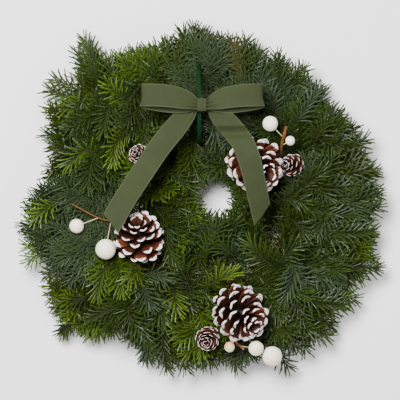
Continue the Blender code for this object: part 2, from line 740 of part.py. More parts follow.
class Spray:
    """One spray's mesh, grown shoot by shoot from three-sided rings of points."""

    def __init__(self, name, clearance, draw):
        self.name = name
        self.points, self.faces, self.spikes = [], [], {}
        self.clearance, self.draw = clearance, draw

    def ring(self, place, tangent, radius, phase):
        across = unit(np.cross(tangent, UP if abs(tangent[2]) < 0.95 else np.array([0.0, 1.0, 0.0])))
        above = np.cross(across, tangent)
        first = len(self.points)
        for j in range(3):
            turn = phase - 2 * math.pi * j / 3
            self.points.append(place + radius * (math.cos(turn) * across + math.sin(turn) * above))
        return [first, first + 1, first + 2]

    def fit_ring(self, loop, place, tangent, radius):
        """A ring turned to suit the four-cornered loop it continues, and the bridge between them."""
        best = None
        corners = np.array([self.points[c] for c in loop])
        for trial in range(12):
            size = len(self.points)
            phase = 2 * math.pi * trial / 12
            ring = self.ring(place, tangent, radius, phase)
            made = np.array([self.points[r] for r in ring])
            del self.points[size:]
            for turn in range(4):
                matched = made[[0, 1, 2, 2]]
                cost = np.linalg.norm(np.roll(corners, -turn, axis=0) - matched, axis=1).sum()
                if best is None or cost < best[0]:
                    best = (cost, phase, turn)
        ring = self.ring(place, tangent, radius, best[1])
        c = loop[best[2]:] + loop[:best[2]]
        self.faces += [(c[0], c[1], ring[1], ring[0]), (c[1], c[2], ring[2], ring[1]), (c[2], c[3], ring[2]),
                       (c[3], c[0], ring[0], ring[2])]
        return ring, best[1]

    def needle(self, base, direction, length, owner):
        """Raises a spike on a triangle, or closes it flat where no direction is clear."""
        corners = [self.points[b] for b in base]
        root = sum(corners) / 3
        side = unit(corners[1] - corners[0])
        ahead = unit(np.cross(direction, side))
        for trial in range(TRIES):
            swing = 0.08 + 0.09 * trial
            way = direction + self.draw.uniform(-swing, swing) * side
            way = unit(way + self.draw.uniform(-swing, swing) * ahead)
            tip = root + way * length * (1 - 0.05 * trial)
            if self.clearance.allows(root, tip, owner):
                self.clearance.add(root, tip, owner)
                self.points.append(tip)
                apex = len(self.points) - 1
                self.spikes[apex] = tuple(base)
                self.faces += [(base[0], base[1], apex), (base[1], base[2], apex), (base[2], base[0], apex)]
                return
        self.faces.append(tuple(base))

    def drop(self, apex):
        """Takes one needle off again and closes its base."""
        self.faces = [face for face in self.faces if face[-1] != apex] + [self.spikes.pop(apex)]

    def tree(self):
        return BVHTree.FromPolygons([tuple(p) for p in self.points], self.faces, epsilon=TOUCHING)

    def made(self, finish):
        used = sorted({v for face in self.faces for v in face})
        place = {v: i for i, v in enumerate(used)}
        faces = [tuple(place[v] for v in face) for face in self.faces]
        return outward(mesh_object(self.name, [self.points[v] for v in used], faces, finish))

    def band(self, here, there, tangent, owner, lean, length):
        """A band of the core with two needles on each of its three sides."""
        centre = sum(self.points[h] for h in here + there) / 6
        for j in range(3):
            n = (j + 1) % 3
            face = np.array([self.points[v] for v in (here[j], here[n], there[n], there[j])])
            out = unit(np.mean(face, axis=0) - centre)
            side = unit(face[1] - face[0])
            spread = 0.34
            ahead = lean * tangent + (1 - lean) * out
            self.needle((here[j], here[n], there[n]), unit(ahead + spread * side), length, owner)
            self.needle((here[j], there[n], there[j]), unit(ahead - spread * side), length, owner)

    def grow(self, line, owner, radii, loop=None, side_starts=(), bare=0.0):
        """Grows one shoot along its line, and returns the loops that its side shoots start from."""
        steps = np.linalg.norm(np.diff(line, axis=0), axis=1)
        along = np.concatenate([[0.0], np.cumsum(steps)])
        total = along[-1]
        marks = [along[index] for index in side_starts]
        stations = [(0.0, False)]
        place = max(bare, 3.0)
        while place < total - 1.5 * NEEDLE_BAND:
            if all(abs(place + NEEDLE_BAND / 2 - mark) > 0.75 * SIDE_LOOP + NEEDLE_BAND for mark in marks):
                stations += [(place, True), (place + NEEDLE_BAND, False)]
            place += WHORL_SPACING
        for mark in set(marks):
            stations += [(mark - SIDE_LOOP / 2, None), (mark + SIDE_LOOP / 2, False)]
        stations += [(total - NEEDLE_BAND, True), (total, False)]
        for distance in along[1:-1]:
            if min(abs(distance - other) for other, kind in stations) > 0.62 * POINT_SPACING:
                stations.append((distance, False))
        stations = sorted(stations, key=lambda s: s[0])
        for entry in range(len(stations) - 1, 0, -1):
            if stations[entry][0] - stations[entry - 1][0] < 0.8:
                del stations[entry]
        tangents = tangents_of(line)
        open_loops = []
        previous, wanted, phase = None, False, math.pi / 2
        for number, (distance, kind) in enumerate(stations):
            point = np.array([np.interp(distance, along, line[:, axis]) for axis in range(3)])
            tangent = unit(np.array([np.interp(distance, along, tangents[:, axis]) for axis in range(3)]))
            radius = radii[0] + (radii[1] - radii[0]) * distance / total
            if previous is None and loop is not None:
                point = point + tangent * 4.5
                ring, phase = self.fit_ring(loop, point, tangent, radius)
            else:
                ring = self.ring(point, tangent, radius, phase)
            if previous is None and loop is None:
                self.faces.append(tuple(reversed(ring)))
            if previous is not None:
                late = distance / total
                if wanted is True:
                    self.band(previous, ring, tangent, owner, 0.50 + 0.22 * late ** 3,
                              NEEDLE_LENGTH * (1 - 0.12 * late))
                else:
                    for j in range(3):
                        n = (j + 1) % 3
                        quad = (previous[j], previous[n], ring[n], ring[j])
                        if wanted is None and j != 1:
                            open_loops.append((distance - SIDE_LOOP / 2, quad))
                        else:
                            self.faces.append(quad)
            previous, wanted = ring, kind
        self.needle((ring[0], ring[1], ring[2]), tangents[-1], 0.8 * NEEDLE_LENGTH, owner)
        return open_loops, marks


def grow_spray(number, spray, clearance, draw):
    name, lines, side_starts, bound = spray
    grown = Spray(name, clearance, draw)
    bare = POINT_SPACING * (bound + 0.6)
    open_loops, marks = grown.grow(lines[0], (number, 0), (STEM_RADIUS, TIP_RADIUS), side_starts=side_starts,
                                   bare=bare)
    for place, (line, mark) in enumerate(zip(lines[1:], marks)):
        heading = unit(line[1] - line[0])

        def facing(entry):
            corners = np.array([grown.points[v] for v in entry[1]])
            normal = unit(np.cross(corners[2] - corners[0], corners[3] - corners[1]))
            return float(np.dot(normal, heading)) - 10.0 * (abs(entry[0] - mark) > 0.5)

        entry = max(open_loops, key=facing)
        open_loops.remove(entry)
        grown.grow(line, (number, place + 1), (STEM_RADIUS * 0.85, TIP_RADIUS), loop=list(entry[1]), bare=8.0)
    grown.faces += [quad for mark, quad in open_loops]
    return grown


def part_needles(grown):
    """Drops the last needles that still touch another spray."""
    for first in range(len(grown)):
        for second in range(first + 1, len(grown)):
            a, b = grown[first], grown[second]
            touching = a.tree().overlap(b.tree())
            doomed_a, doomed_b = set(), set()
            for face_a, face_b in touching:
                apex_a, apex_b = a.faces[face_a][-1], b.faces[face_b][-1]
                if apex_a in a.spikes:
                    doomed_a.add(apex_a)
                elif apex_b in b.spikes:
                    doomed_b.add(apex_b)
            for apex in doomed_a:
                a.drop(apex)
            for apex in doomed_b:
                b.drop(apex)


# What each pick carries: centre, axis towards its tip, core length, girth and number of scales
CONES = {
    "pine_cone_left": ((-67.6, -44.6, 57.0), (0.12, -0.72, 0.68), 40.0, 26.5, 48),
    "pine_cone_bottom": ((41.3, -124.9, 60.0), (-0.36, 0.42, 0.83), 46.0, 31.5, 52),
    "pine_cone_right": ((58.5, 38.0, 55.0), (-0.42, 0.45, 0.79), 45.0, 30.0, 52),
    "larch_cone_right": ((103.5, 36.5, 42.0), (-0.62, 0.10, 0.78), 20.0, 12.5, 26),
    "larch_cone_bottom": ((8.5, -153.5, 54.0), (-0.20, -0.42, 0.88), 20.0, 14.0, 26),
    "larch_cone_left": ((-66.5, 46.0, 60.0), (-0.40, 0.25, 0.88), 19.0, 12.0, 26),
}
BERRIES = {
    "berry_right_large": ((76.5, 80.9, 62.0), 8.5),
    "berry_right_small": ((98.4, 62.2, 60.0), 5.3),
    "berry_left_small": ((-135.9, -31.4, 52.0), 8.0),
    "berry_left_large": ((-104.0, -56.7, 60.0), 11.2),
    "berry_bottom_large": ((78.7, -174.4, 48.0), 11.0),
    "berry_bottom_middle": ((61.0, -165.5, 57.0), 8.3),
    "berry_bottom_small": ((31.9, -164.0, 52.0), 5.8),
}
TWIG_RADIUS = 1.9
CRAFT_WIRE_RADIUS = 0.8


def berry_wire(name, start, rise=3.0):
    centre, radius = BERRIES[name]
    return (wire_to(start, centre, radius, rise), CRAFT_WIRE_RADIUS, CRAFT_WIRE_RADIUS)


def line_through(*points):
    return smooth_line([np.array(point, float) for point in points], WIRE_SPACING)


def make_picks(twig_finish):
    thin, thick = CRAFT_WIRE_RADIUS, TWIG_RADIUS
    hub = np.array([83.0, 42.0, 29.0])
    pick("pick_right", [
        (foot(22.0, hub), FOOT_RADIUS, 1.6),
        (line_through(hub - (0, 4, 3), hub, (87.5, 47, 43), (90, 62, 56), (94, 77.6, 64)), 1.5, thick),
        (line_through(hub - (0, 3, 1), *stalk("pine_cone_right")), thin, thin),
        (line_through(hub, *stalk("larch_cone_right")), thin, thin),
        berry_wire("berry_right_large", (90.6, 66, 57.4)),
        berry_wire("berry_right_small", (89.0, 57, 51.7), 1.0),
    ], twig_finish)
    hub = np.array([-77.0, -32.0, 28.0])
    pick("pick_left", [
        (foot(198.0, hub), FOOT_RADIUS, 1.6),
        (line_through(hub + (4, -2, -1), hub, (-87, -25, 40), (-108, -24, 52), (-141.4, -7.2, 58)), 1.7, 0.9),
        (line_through(hub, *stalk("pine_cone_left")), thin, thin),
        berry_wire("berry_left_small", (-112, -22.3, 53.2)),
        berry_wire("berry_left_large", (-98, -24.5, 47), 1.0),
    ], twig_finish)
    hub = np.array([42.0, -149.0, 32.0])
    pick("pick_bottom", [
        (foot(291.0, (48, -102, 24.5), (47, -119, 27), (44, -137, 29), hub), FOOT_RADIUS, 1.6),
        (line_through((27, -149, 46), (37, -157, 46), (48, -167, 49)), thick, 1.6),
        (line_through(hub - (0, -2, 0), hub, (38.5, -158, 46)), 1.5, 1.5),
        (line_through((44.6, -134, 28.7), *stalk("pine_cone_bottom")), thin, thin),
        (line_through(hub, (22, -147, 34), *stalk("larch_cone_bottom")), thin, thin),
        berry_wire("berry_bottom_large", hub, -4.0),
        berry_wire("berry_bottom_middle", (44, -163.2, 47.8), 0.5),
        berry_wire("berry_bottom_small", (37, -157, 46), 0.0),
    ], twig_finish)
    pick("larch_wire_left", [
        (foot(140.0, on_ring(145.0, 94.0, 30.0), *stalk("larch_cone_left")), FOOT_RADIUS, thin),
    ], twig_finish)


def thin_obstacles():
    """Balls along the ribbon, the tie and the wire that the shoots' middle lines stay out of."""
    balls = [(BOW_CENTRE, 14.0)]
    for line in (LEFT_TAIL, RIGHT_TAIL):
        for place in smooth_line(np.array(line)[:, :3], 9.0):
            balls.append((place, 17.0))
    for row in LOOP_LINE:
        for side in (-1, 1):
            balls.append((BOW_CENTRE + np.array([side * row[0], row[2], row[1]]), 16.0))
    tie = np.array([(TIE_MIDDLE[0], y, z) for y, z in TIE_PATH + TIE_PATH[:1]])
    for place in resampled(tie, 5.0):
        balls.append((place, 6.5))
    for place in resampled(np.vstack([wire_path(), wire_path()[:1]]), 5.0):
        balls.append((place, 4.2))
    return balls


def pick_obstacles(names):
    balls = []
    for name in names:
        for vertex in bpy.data.objects[name].data.vertices:
            balls.append((1000 * np.array(vertex.co), 4.5))
    return balls


# Which slots hold which fir. They count round from the top, anticlockwise seen from the front
BLUE_SLOTS = {"outer": (11, 12, 7, 4), "crown": (11, 12, 9, 3), "inner": (12, 10, 7)}
FRESH_SLOTS = {"outer": (2, 5, 9), "crown": (1, 4, 6), "inner": (3, 5)}


def kind_of_fir(name):
    row, number = name.split("_")[0], int(name[-2:])
    if number in BLUE_SLOTS[row]:
        return "blue"
    return "fresh" if number in FRESH_SLOTS[row] else "green"


def recentre():
    """Moves every mesh so that the wreath's box stands centred on the origin, with its back at z = 0."""
    corners = np.concatenate([[v.co for v in found.data.vertices] for found in bpy.data.objects])
    middle = (corners.min(axis=0) + corners.max(axis=0)) / 2
    for found in bpy.data.objects:
        for vertex in found.data.vertices:
            vertex.co.x -= middle[0]
            vertex.co.y -= middle[1]


def build():
    clear_scene()
    draw = np.random.default_rng(11)
    straw = material("straw", (0.52, 0.38, 0.17), 0.9)
    wire = material("green_wire", (0.03, 0.09, 0.04), 0.45, 0.6)
    twine = material("green_twine", (0.008, 0.13, 0.06), 0.6)
    ribbon = material("sage_ribbon", (0.10, 0.13, 0.06), 0.75)
    brown = material("cone_brown", (0.09, 0.03, 0.02), 0.8)
    bark = material("twig_bark", (0.30, 0.13, 0.05), 0.8)
    foam = material("white_foam", (0.9, 0.88, 0.82), 0.6)
    firs = {
        "green": material("fir_green", (0.035, 0.075, 0.015), 0.6),
        "blue": material("noble_fir_blue", (0.06, 0.09, 0.06), 0.6),
        "fresh": material("fresh_fir_green", (0.06, 0.12, 0.02), 0.6),
    }
    straw_ring(straw)
    binding_wire(wire)
    green_tie(twine)
    bow_loops(ribbon)
    bow_tail("bow_tail_left", LEFT_TAIL, 5.5, ribbon)
    bow_tail("bow_tail_right", RIGHT_TAIL, -8.5, ribbon)
    bow_knot(ribbon)
    for number, (name, (centre, axis, length, girth, scales)) in enumerate(CONES.items()):
        tight = 18.0 if name.startswith("larch") else 0.0
        cone(name, centre, axis, length, girth, scales, brown, spin=0.8 * number, tight=tight)
    for name, (centre, radius) in BERRIES.items():
        ball(name, centre, radius, foam)
    make_picks(bark)

    obstacles = thin_obstacles()
    for centre, axis, length, girth, scales in CONES.values():
        way = unit(np.array(axis, float))
        obstacles.append((np.array(centre, float) + 0.08 * length * way, girth + 2.5))
        obstacles.append((np.array(centre, float) - 0.30 * length * way, 0.85 * girth))
    for centre, radius in BERRIES.values():
        obstacles.append((np.array(centre, float), radius + 5.0))
    obstacles += pick_obstacles(("pick_right", "pick_left", "pick_bottom", "larch_wire_left"))
    others = [found for found in bpy.data.objects]
    sprays = spread_apart(lay_out_sprays(draw), obstacles)
    clearance = Clearance(sprays, others)
    grown = [grow_spray(number, spray, clearance, draw) for number, spray in enumerate(sprays)]
    part_needles(grown)
    for spray in grown:
        spray.made(firs[kind_of_fir(spray.name)])
    recentre()


build()
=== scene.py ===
import math

import bmesh
import bpy
import numpy as np
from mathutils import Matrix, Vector


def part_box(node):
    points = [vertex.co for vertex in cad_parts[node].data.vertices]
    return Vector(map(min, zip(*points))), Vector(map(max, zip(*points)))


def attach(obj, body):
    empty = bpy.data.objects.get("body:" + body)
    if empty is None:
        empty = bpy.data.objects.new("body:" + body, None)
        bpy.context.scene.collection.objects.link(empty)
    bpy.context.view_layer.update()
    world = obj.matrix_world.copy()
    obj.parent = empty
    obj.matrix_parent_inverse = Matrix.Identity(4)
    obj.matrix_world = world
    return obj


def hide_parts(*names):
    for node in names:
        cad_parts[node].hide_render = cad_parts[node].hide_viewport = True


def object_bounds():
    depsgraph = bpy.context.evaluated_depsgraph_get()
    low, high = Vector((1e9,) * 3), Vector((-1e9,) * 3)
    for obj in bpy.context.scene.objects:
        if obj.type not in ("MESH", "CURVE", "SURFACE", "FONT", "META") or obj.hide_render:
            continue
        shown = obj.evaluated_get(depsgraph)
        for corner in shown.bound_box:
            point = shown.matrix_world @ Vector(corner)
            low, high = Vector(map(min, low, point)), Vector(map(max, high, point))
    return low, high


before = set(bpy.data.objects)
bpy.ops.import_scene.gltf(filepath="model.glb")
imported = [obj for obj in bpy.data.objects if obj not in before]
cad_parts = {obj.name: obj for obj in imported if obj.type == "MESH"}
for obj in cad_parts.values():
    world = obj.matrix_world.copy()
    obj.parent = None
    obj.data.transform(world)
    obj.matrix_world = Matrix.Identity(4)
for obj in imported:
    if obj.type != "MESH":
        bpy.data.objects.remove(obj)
cad_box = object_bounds()

# Straw ring. Rye straw laid round in a bundle and wound tight with thin thread. Every spray is bound to it.
# It is matt gold straw, pressed in where the green wire and the tie pass behind it.
# Its gold is darker than fresh straw's: painted shade for where it lies under the foliage.
RING_CENTRE = np.array([8.0, 0.0, 0.0])
RING_RADIUS, RING_HALF_WIDTH, RING_HEIGHT, RING_CHAMFER = 100.0, 12.0, 20.0, 5.0
SLOTS, SLOT_STEP, FIRST_WINDING = 12, 30.0, 79.6
TIE_ANGLE = math.degrees(math.atan2(RING_RADIUS, -RING_CENTRE[0]))
STRAW_RADIUS, STRAWS, STRAW_POINTS = 1.25, 30, 144
# How far a straw wanders round the section, in two waves, and how deep it dips under its neighbours
STRAW_WANDER, STRAW_RIPPLE, STRAW_DIP = 0.006, 0.004, 0.25
THREAD_RADIUS, THREAD_TURNS, THREAD_POINTS = 0.3, 44, 14
PACKED_CORE_RADIUS, BACK_SPREAD = 6.6, 1.0
WIRE_MARK, TIE_MARK, MARK_WIDTH = 1.8, 2.2, 3.2

ring_low, ring_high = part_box("straw_ring")
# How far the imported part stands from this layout, in millimetres
SHIFT = 1000.0 * (np.array(ring_low) + np.array(ring_high)) / 2 * (1, 1, 0) - RING_CENTRE


def in_metres(points):
    """Millimetres on the wreath's own layout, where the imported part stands."""
    return 0.001 * (np.asarray(points, float) + SHIFT)


def unit(vector):
    return vector / max(np.linalg.norm(vector), 1e-9)


def on_ring(angle, radius, height):
    turn = math.radians(angle)
    return RING_CENTRE + np.array([radius * math.cos(turn), radius * math.sin(turn), height])


def resampled(points, spacing):
    """The same line with its points evenly spaced. Columns after the third follow along."""
    points = np.asarray(points, float)
    steps = np.linalg.norm(np.diff(points[:, :3], axis=0), axis=1)
    along = np.concatenate([[0.0], np.cumsum(steps)])
    count = max(2, int(round(along[-1] / spacing)) + 1)
    wanted = np.linspace(0.0, along[-1], count)
    return np.stack([np.interp(wanted, along, column) for column in points.T], axis=1)


def smooth_line(points, spacing, closed=False):
    """A Catmull-Rom curve through the points, evenly resampled. A closed one ends where it starts."""
    points = np.asarray(points, float)
    if closed:
        padded = np.vstack([points[-1:], points, points[:2]])
    else:
        padded = np.vstack([2 * points[0] - points[1], points, 2 * points[-1] - points[-2]])
    fine = []
    for before, start, end, after in zip(padded, padded[1:], padded[2:], padded[3:]):
        for t in np.linspace(0.0, 1.0, 9)[:-1]:
            fine.append(0.5 * (2 * start + (end - before) * t
                               + (2 * before - 5 * start + 4 * end - after) * t ** 2
                               + (3 * start - before - 3 * end + after) * t ** 3))
    fine.append(padded[-2])
    return resampled(fine, spacing)


def hex_colour(code):
    """An sRGB hex colour as linear red, green, blue and alpha."""
    linear = []
    for k in (0, 2, 4):
        value = int(code[k:k + 2], 16) / 255.0
        linear.append(value / 12.92 if value <= 0.04045 else ((value + 0.055) / 1.055) ** 2.4)
    return (*linear, 1.0)


def set_out(name, data):
    """An object of its own for a mesh, a light or a camera."""
    made = bpy.data.objects.new(name, data)
    bpy.context.scene.collection.objects.link(made)
    return made


def mark_points(mesh, label, values):
    """Stores a number or a vector at each point of a mesh."""
    values = np.asarray(values, np.float32)
    kind, field = ("FLOAT_VECTOR", "vector") if values.ndim == 2 else ("FLOAT", "value")
    mesh.attributes.new(label, kind, "POINT").data.foreach_set(field, values.ravel())


def add_node(tree, kind, inputs=None, out=0, **settings):
    """One output of a new node, whose inputs are set to values or linked from other nodes' outputs."""
    made = tree.nodes.new(kind)
    for setting, value in settings.items():
        setattr(made, setting, value)
    for socket, value in (inputs or {}).items():
        for one in value if isinstance(value, list) else [value]:
            if isinstance(one, bpy.types.NodeSocket):
                tree.links.new(one, made.inputs[socket])
            else:
                made.inputs[socket].default_value = one
    return made.outputs[out]


def maths(tree, operation, *values):
    """The result of a sum on numbers, each a value or a link."""
    return add_node(tree, "ShaderNodeMath", dict(enumerate(values)), operation=operation)


def vector_maths(tree, operation, first, second=None):
    """The result of a sum on one vector, or on it and another one, or a number that scales it."""
    inputs = {0: first}
    if second is not None:
        inputs[3 if operation == "SCALE" else 1] = second
    return add_node(tree, "ShaderNodeVectorMath", inputs, int(operation == "LENGTH"), operation=operation)


def blend(tree, share, low, high):
    """A colour a share of the way between two others, each a hex colour or a link."""
    low, high = [hex_colour(end) if isinstance(end, str) else end for end in (low, high)]
    return add_node(tree, "ShaderNodeMix", {0: share, 6: low, 7: high}, data_type="RGBA", out=2)


def noise(tree, where, scale, detail):
    return add_node(tree, "ShaderNodeTexNoise", {"Vector": where, "Scale": scale, "Detail": detail})


def raise_surface(tree, shader, height, strength, distance):
    bump = add_node(tree, "ShaderNodeBump", {"Height": height, "Strength": strength, "Distance": distance})
    tree.links.new(bump, shader["Normal"])


def new_finish(name, roughness, specular=0.5):
    """A material, its tree, its shader's inputs, and the place that its patterns are read from."""
    made = bpy.data.materials.new(name)
    made.use_nodes = True
    shader = made.node_tree.nodes["Principled BSDF"].inputs
    shader["Roughness"].default_value = roughness
    shader["Specular IOR Level"].default_value = specular
    # Straw, bark, leaf wax, paint, foam and cloth fibre all bend light by about this much
    shader["IOR"].default_value = 1.5
    return made, made.node_tree, shader, add_node(made.node_tree, "ShaderNodeTexCoord", out="Object")


def new_tree(name, inputs):
    """An empty geometry tree with named inputs, its input sockets and its output node."""
    tree = bpy.data.node_groups.new(name, "GeometryNodeTree")
    for label, kind in inputs.items():
        tree.interface.new_socket(label, in_out="INPUT", socket_type="NodeSocket" + kind)
    tree.interface.new_socket("Made", in_out="OUTPUT", socket_type="NodeSocketGeometry")
    return tree, tree.nodes.new("NodeGroupInput").outputs, tree.nodes.new("NodeGroupOutput").inputs


def lines_object(name, lines, closed=False, **attributes):
    """Lines in millimetres as one mesh of edges, whose points carry the attributes."""
    places, edges = [], []
    for line in lines:
        first = len(places)
        places += list(in_metres(line[:, :3]))
        edges += [(first + k, first + k + 1) for k in range(len(line) - 1)]
        if closed:
            edges.append((first + len(line) - 1, first))
    mesh = bpy.data.meshes.new(name)
    mesh.from_pydata([tuple(place) for place in places], edges, [])
    for label, values in attributes.items():
        mark_points(mesh, label, np.concatenate(values))
    return set_out(name + "_lines", mesh)


def grown_from(source, tree, name, values):
    """What a geometry tree makes of an object, as a plain mesh on an object of its own."""
    modifier = source.modifiers.new(tree.name, "NODES")
    modifier.node_group = tree
    for item in tree.interface.items_tree:
        if item.in_out == "INPUT" and item.name in values:
            modifier[item.identifier] = values[item.name]
    bpy.context.view_layer.update()
    graph = bpy.context.evaluated_depsgraph_get()
    mesh = bpy.data.meshes.new_from_object(source.evaluated_get(graph), depsgraph=graph)
    bpy.data.objects.remove(source, do_unlink=True)
    return set_out(name, mesh)


def place_piece(piece, slot, *nodes):
    """Every piece of the wreath stands still on its one body."""
    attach(piece, "root")
    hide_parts(*nodes)


def rods_along(tree, lines, sides):
    """The lines as curves, and round rods along them as thick as the lines' girth attribute says."""
    curve = add_node(tree, "GeometryNodeMeshToCurve", {0: lines})
    girth = add_node(tree, "GeometryNodeInputNamedAttribute", {"Name": "girth"}, data_type="FLOAT")
    section = add_node(tree, "GeometryNodeCurvePrimitiveCircle", {"Resolution": sides, "Radius": 1.0})
    made = add_node(tree, "GeometryNodeCurveToMesh", {
        "Curve": curve, "Profile Curve": section, "Scale": girth, "Fill Caps": True})
    return curve, made


def rod_tree():
    """Straws, wires, twigs and twine: smooth round rods in one finish."""
    tree, given, result = new_tree("round_rods", {"Lines": "Geometry", "Sides": "Int", "Finish": "Material"})
    curve, made = rods_along(tree, given["Lines"], given["Sides"])
    soft = add_node(tree, "GeometryNodeSetShadeSmooth", {"Geometry": made})
    real = add_node(tree, "GeometryNodeRealizeInstances", {"Geometry": soft})
    done = add_node(tree, "GeometryNodeSetMaterial", {"Geometry": real, "Material": given["Finish"]})
    tree.links.new(done, result[0])
    return tree


def pressed_in(turn):
    """How far the back is pressed in by the wire or the tie, in millimetres."""
    marks = [(FIRST_WINDING + k * SLOT_STEP, WIRE_MARK) for k in range(SLOTS)] + [(TIE_ANGLE, TIE_MARK)]
    depth = 0.0
    for angle, most in marks:
        apart = abs((turn - angle + 180.0) % 360.0 - 180.0) * math.pi / 180.0 * RING_RADIUS
        depth = max(depth, most * math.exp(-(apart / MARK_WIDTH) ** 2))
    return depth


def straw_place(turn, share, inset):
    """A point on the ring's section, by its share round it, drawn in from the surface."""
    half, top, cut = RING_HALF_WIDTH - inset, RING_HEIGHT - inset, RING_CHAMFER
    front, back = half - cut, half - cut + BACK_SPREAD
    corners = [(back, inset), (half, cut + inset / 2), (half, top - cut), (front, top),
               (-front, top), (-half, top - cut), (-half, cut + inset / 2), (-back, inset)]
    spot = (share % 1.0) * len(corners)
    first = int(spot)
    a, b = np.array(corners[first]), np.array(corners[(first + 1) % len(corners)])
    offset, height = a + (b - a) * (spot - first)
    place = on_ring(turn, RING_RADIUS + offset, height)
    if place[2] < RING_CHAMFER:
        place[2] += pressed_in(turn)
    return place


straw, tree, shader, where = new_finish("dry_rye_straw", 0.62)
# Straws are 2 to 3 mm thick, so the tone changes over a few millimetres
fleck = noise(tree, where, 320.0, 4.0)
patch = noise(tree, where, 60.0, 2.0)
tone = maths(tree, "MULTIPLY_ADD", fleck, patch, 0.22)
# Darker than fresh straw's gold: painted shade for the ring under the foliage
gold_with_painted_shade = blend(tree, tone, "6a5230", "b89c66")
tree.links.new(gold_with_painted_shade, shader["Base Color"])
raise_surface(tree, shader, fleck, 0.35, 0.0004)

rods = rod_tree()
sway = np.random.default_rng(5)
turns = 360.0 * np.arange(STRAW_POINTS) / STRAW_POINTS
bundle = []
for k in range(STRAWS):
    first, second = sway.uniform(0, 2 * math.pi, 2)
    line = []
    for turn in turns:
        round_it = math.radians(turn)
        share = k / STRAWS + STRAW_WANDER * math.sin(3 * round_it + first)
        share += STRAW_RIPPLE * math.sin(7 * round_it + second)
        inset = STRAW_RADIUS + STRAW_DIP * (1 + math.sin(5 * round_it + second))
        line.append(straw_place(turn, share, inset))
    bundle.append(np.array(line))
bundle.append(np.array([on_ring(turn, RING_RADIUS, RING_HEIGHT / 2) for turn in turns]))
thread_points = THREAD_TURNS * THREAD_POINTS
bundle.append(np.array([straw_place(360.0 * n / thread_points, n / THREAD_POINTS, THREAD_RADIUS)
                        for n in range(thread_points)]))
thicknesses = [STRAW_RADIUS] * STRAWS + [PACKED_CORE_RADIUS, THREAD_RADIUS]
girths = [np.full(len(line), 0.001 * radius) for line, radius in zip(bundle, thicknesses)]
source = lines_object("straw_bundle", bundle, closed=True, girth=girths)
straw_bundle = grown_from(source, rods, "straw_bundle", {"Sides": 6, "Finish": straw})
place_piece(straw_bundle, "straw", "straw_ring")

# Binding wire. Green lacquered florist's wire, wound round the ring once every 30 degrees. It crosses the
# back straight in its press mark, and slants over the stems at the front to the next turn.
WIRE_RADIUS, WIRE_STANDOFF, WIRE_LOW, WIRE_STEP, WIRE_EASINGS = 0.6, 6.3, 1.0, 1.5, 4
WIRE_SIDE, WIRE_FRONT = RING_HALF_WIDTH + WIRE_STANDOFF, RING_HEIGHT + WIRE_STANDOFF
# One turn: how far off the ring's middle line, how high, and how much of the way to the next turn
WIRE_TURN = ((-RING_HALF_WIDTH, WIRE_LOW, 0.0), (RING_HALF_WIDTH, WIRE_LOW, 0.0), (WIRE_SIDE, 9.5, 0.05),
             (10.0, WIRE_FRONT, 0.28), (-10.0, WIRE_FRONT, 0.72), (-WIRE_SIDE, 9.5, 0.95))


def wire_path(spacing):
    """The wire's evenly spaced points, from the first turn round to it again."""
    points = []
    for k in range(SLOTS):
        for offset, height, advance in WIRE_TURN:
            points.append(on_ring(FIRST_WINDING + (k + advance) * SLOT_STEP, RING_RADIUS + offset, height))
    return resampled(np.array(points + points[:1]), spacing)


def grained_finish(name, roughness, dark, light, scale, detail, strength=0.0, depth=0.0, specular=0.5):
    """A finish whose grain runs from a dark tone to a light one, and is raised where it has a strength."""
    made, tree, shader, where = new_finish(name, roughness, specular)
    grain = noise(tree, where, scale, detail)
    colour = blend(tree, grain, dark, light)
    tree.links.new(colour, shader["Base Color"])
    if strength:
        raise_surface(tree, shader, grain, strength, depth)
    return made, tree, shader, grain


# Scuffs a few millimetres long, duller where the wire was drawn through the hand
lacquer, tree, shader, scuff = grained_finish("green_lacquered_wire", 0.32, "173d20", "2f6a3b", 400.0, 3.0)
worn = add_node(tree, "ShaderNodeMapRange", {"Value": scuff, "To Min": 0.22, "To Max": 0.5})
tree.links.new(worn, shader["Roughness"])
rounded = wire_path(WIRE_STEP)[:-1]
for easing in range(WIRE_EASINGS):
    rounded = 0.5 * rounded + 0.25 * (np.roll(rounded, 1, axis=0) + np.roll(rounded, -1, axis=0))
rounded[:, 2] = np.maximum(rounded[:, 2], WIRE_LOW)
source = lines_object("binding", [rounded], closed=True, girth=[np.full(len(rounded), 0.001 * WIRE_RADIUS)])
binding = grown_from(source, rods, "binding", {"Sides": 8, "Finish": lacquer})
place_piece(binding, "green_wire", "binding_wire")

# Sprays. Cut shoots of Nordmann and noble fir in three rows, their stems under the wire and their tips
# swept round and away from the ring. Flat waxy needles stand along each brown shoot like a comb.
UP = np.array([0.0, 0.0, 1.0])
HOLE_CENTRE, HOLE_RADIUS, NEEDLE_FREE_RADIUS = np.array([17.0, 1.0, 0.0]), 19.0, 11.0
SIDE_STANDOFF, CROWN_STANDOFF, NEEDLE_OVERHANG = 2.25, 1.7, 15.0
POINT_SPACING, CORE_SPACING, LOWEST_CORE, BOUND_POINTS, RING_ROOM = 9.0, 9.5, 6.0, 4, 5.0
# The sprays are eased apart in rounds, by so many millimetres a round at most
EASING_ROUNDS, MOST_MOVE, EASING = 40, 4.0, 0.3
# How far the wreath's outline is from the ring's middle, every 15 degrees from the right
REACH = (199, 195, 188, 184, 186, 187, 199, 192, 198, 225, 216, 190,
         209, 222, 220, 228, 190, 205, 197, 205, 219, 207, 206, 204)

# What the shoots make room for: the ribbon, the tie, the cones and the berries, each where its own section
# puts it
BOW_CENTRE = np.array([2.0, 102.0, 80.0])
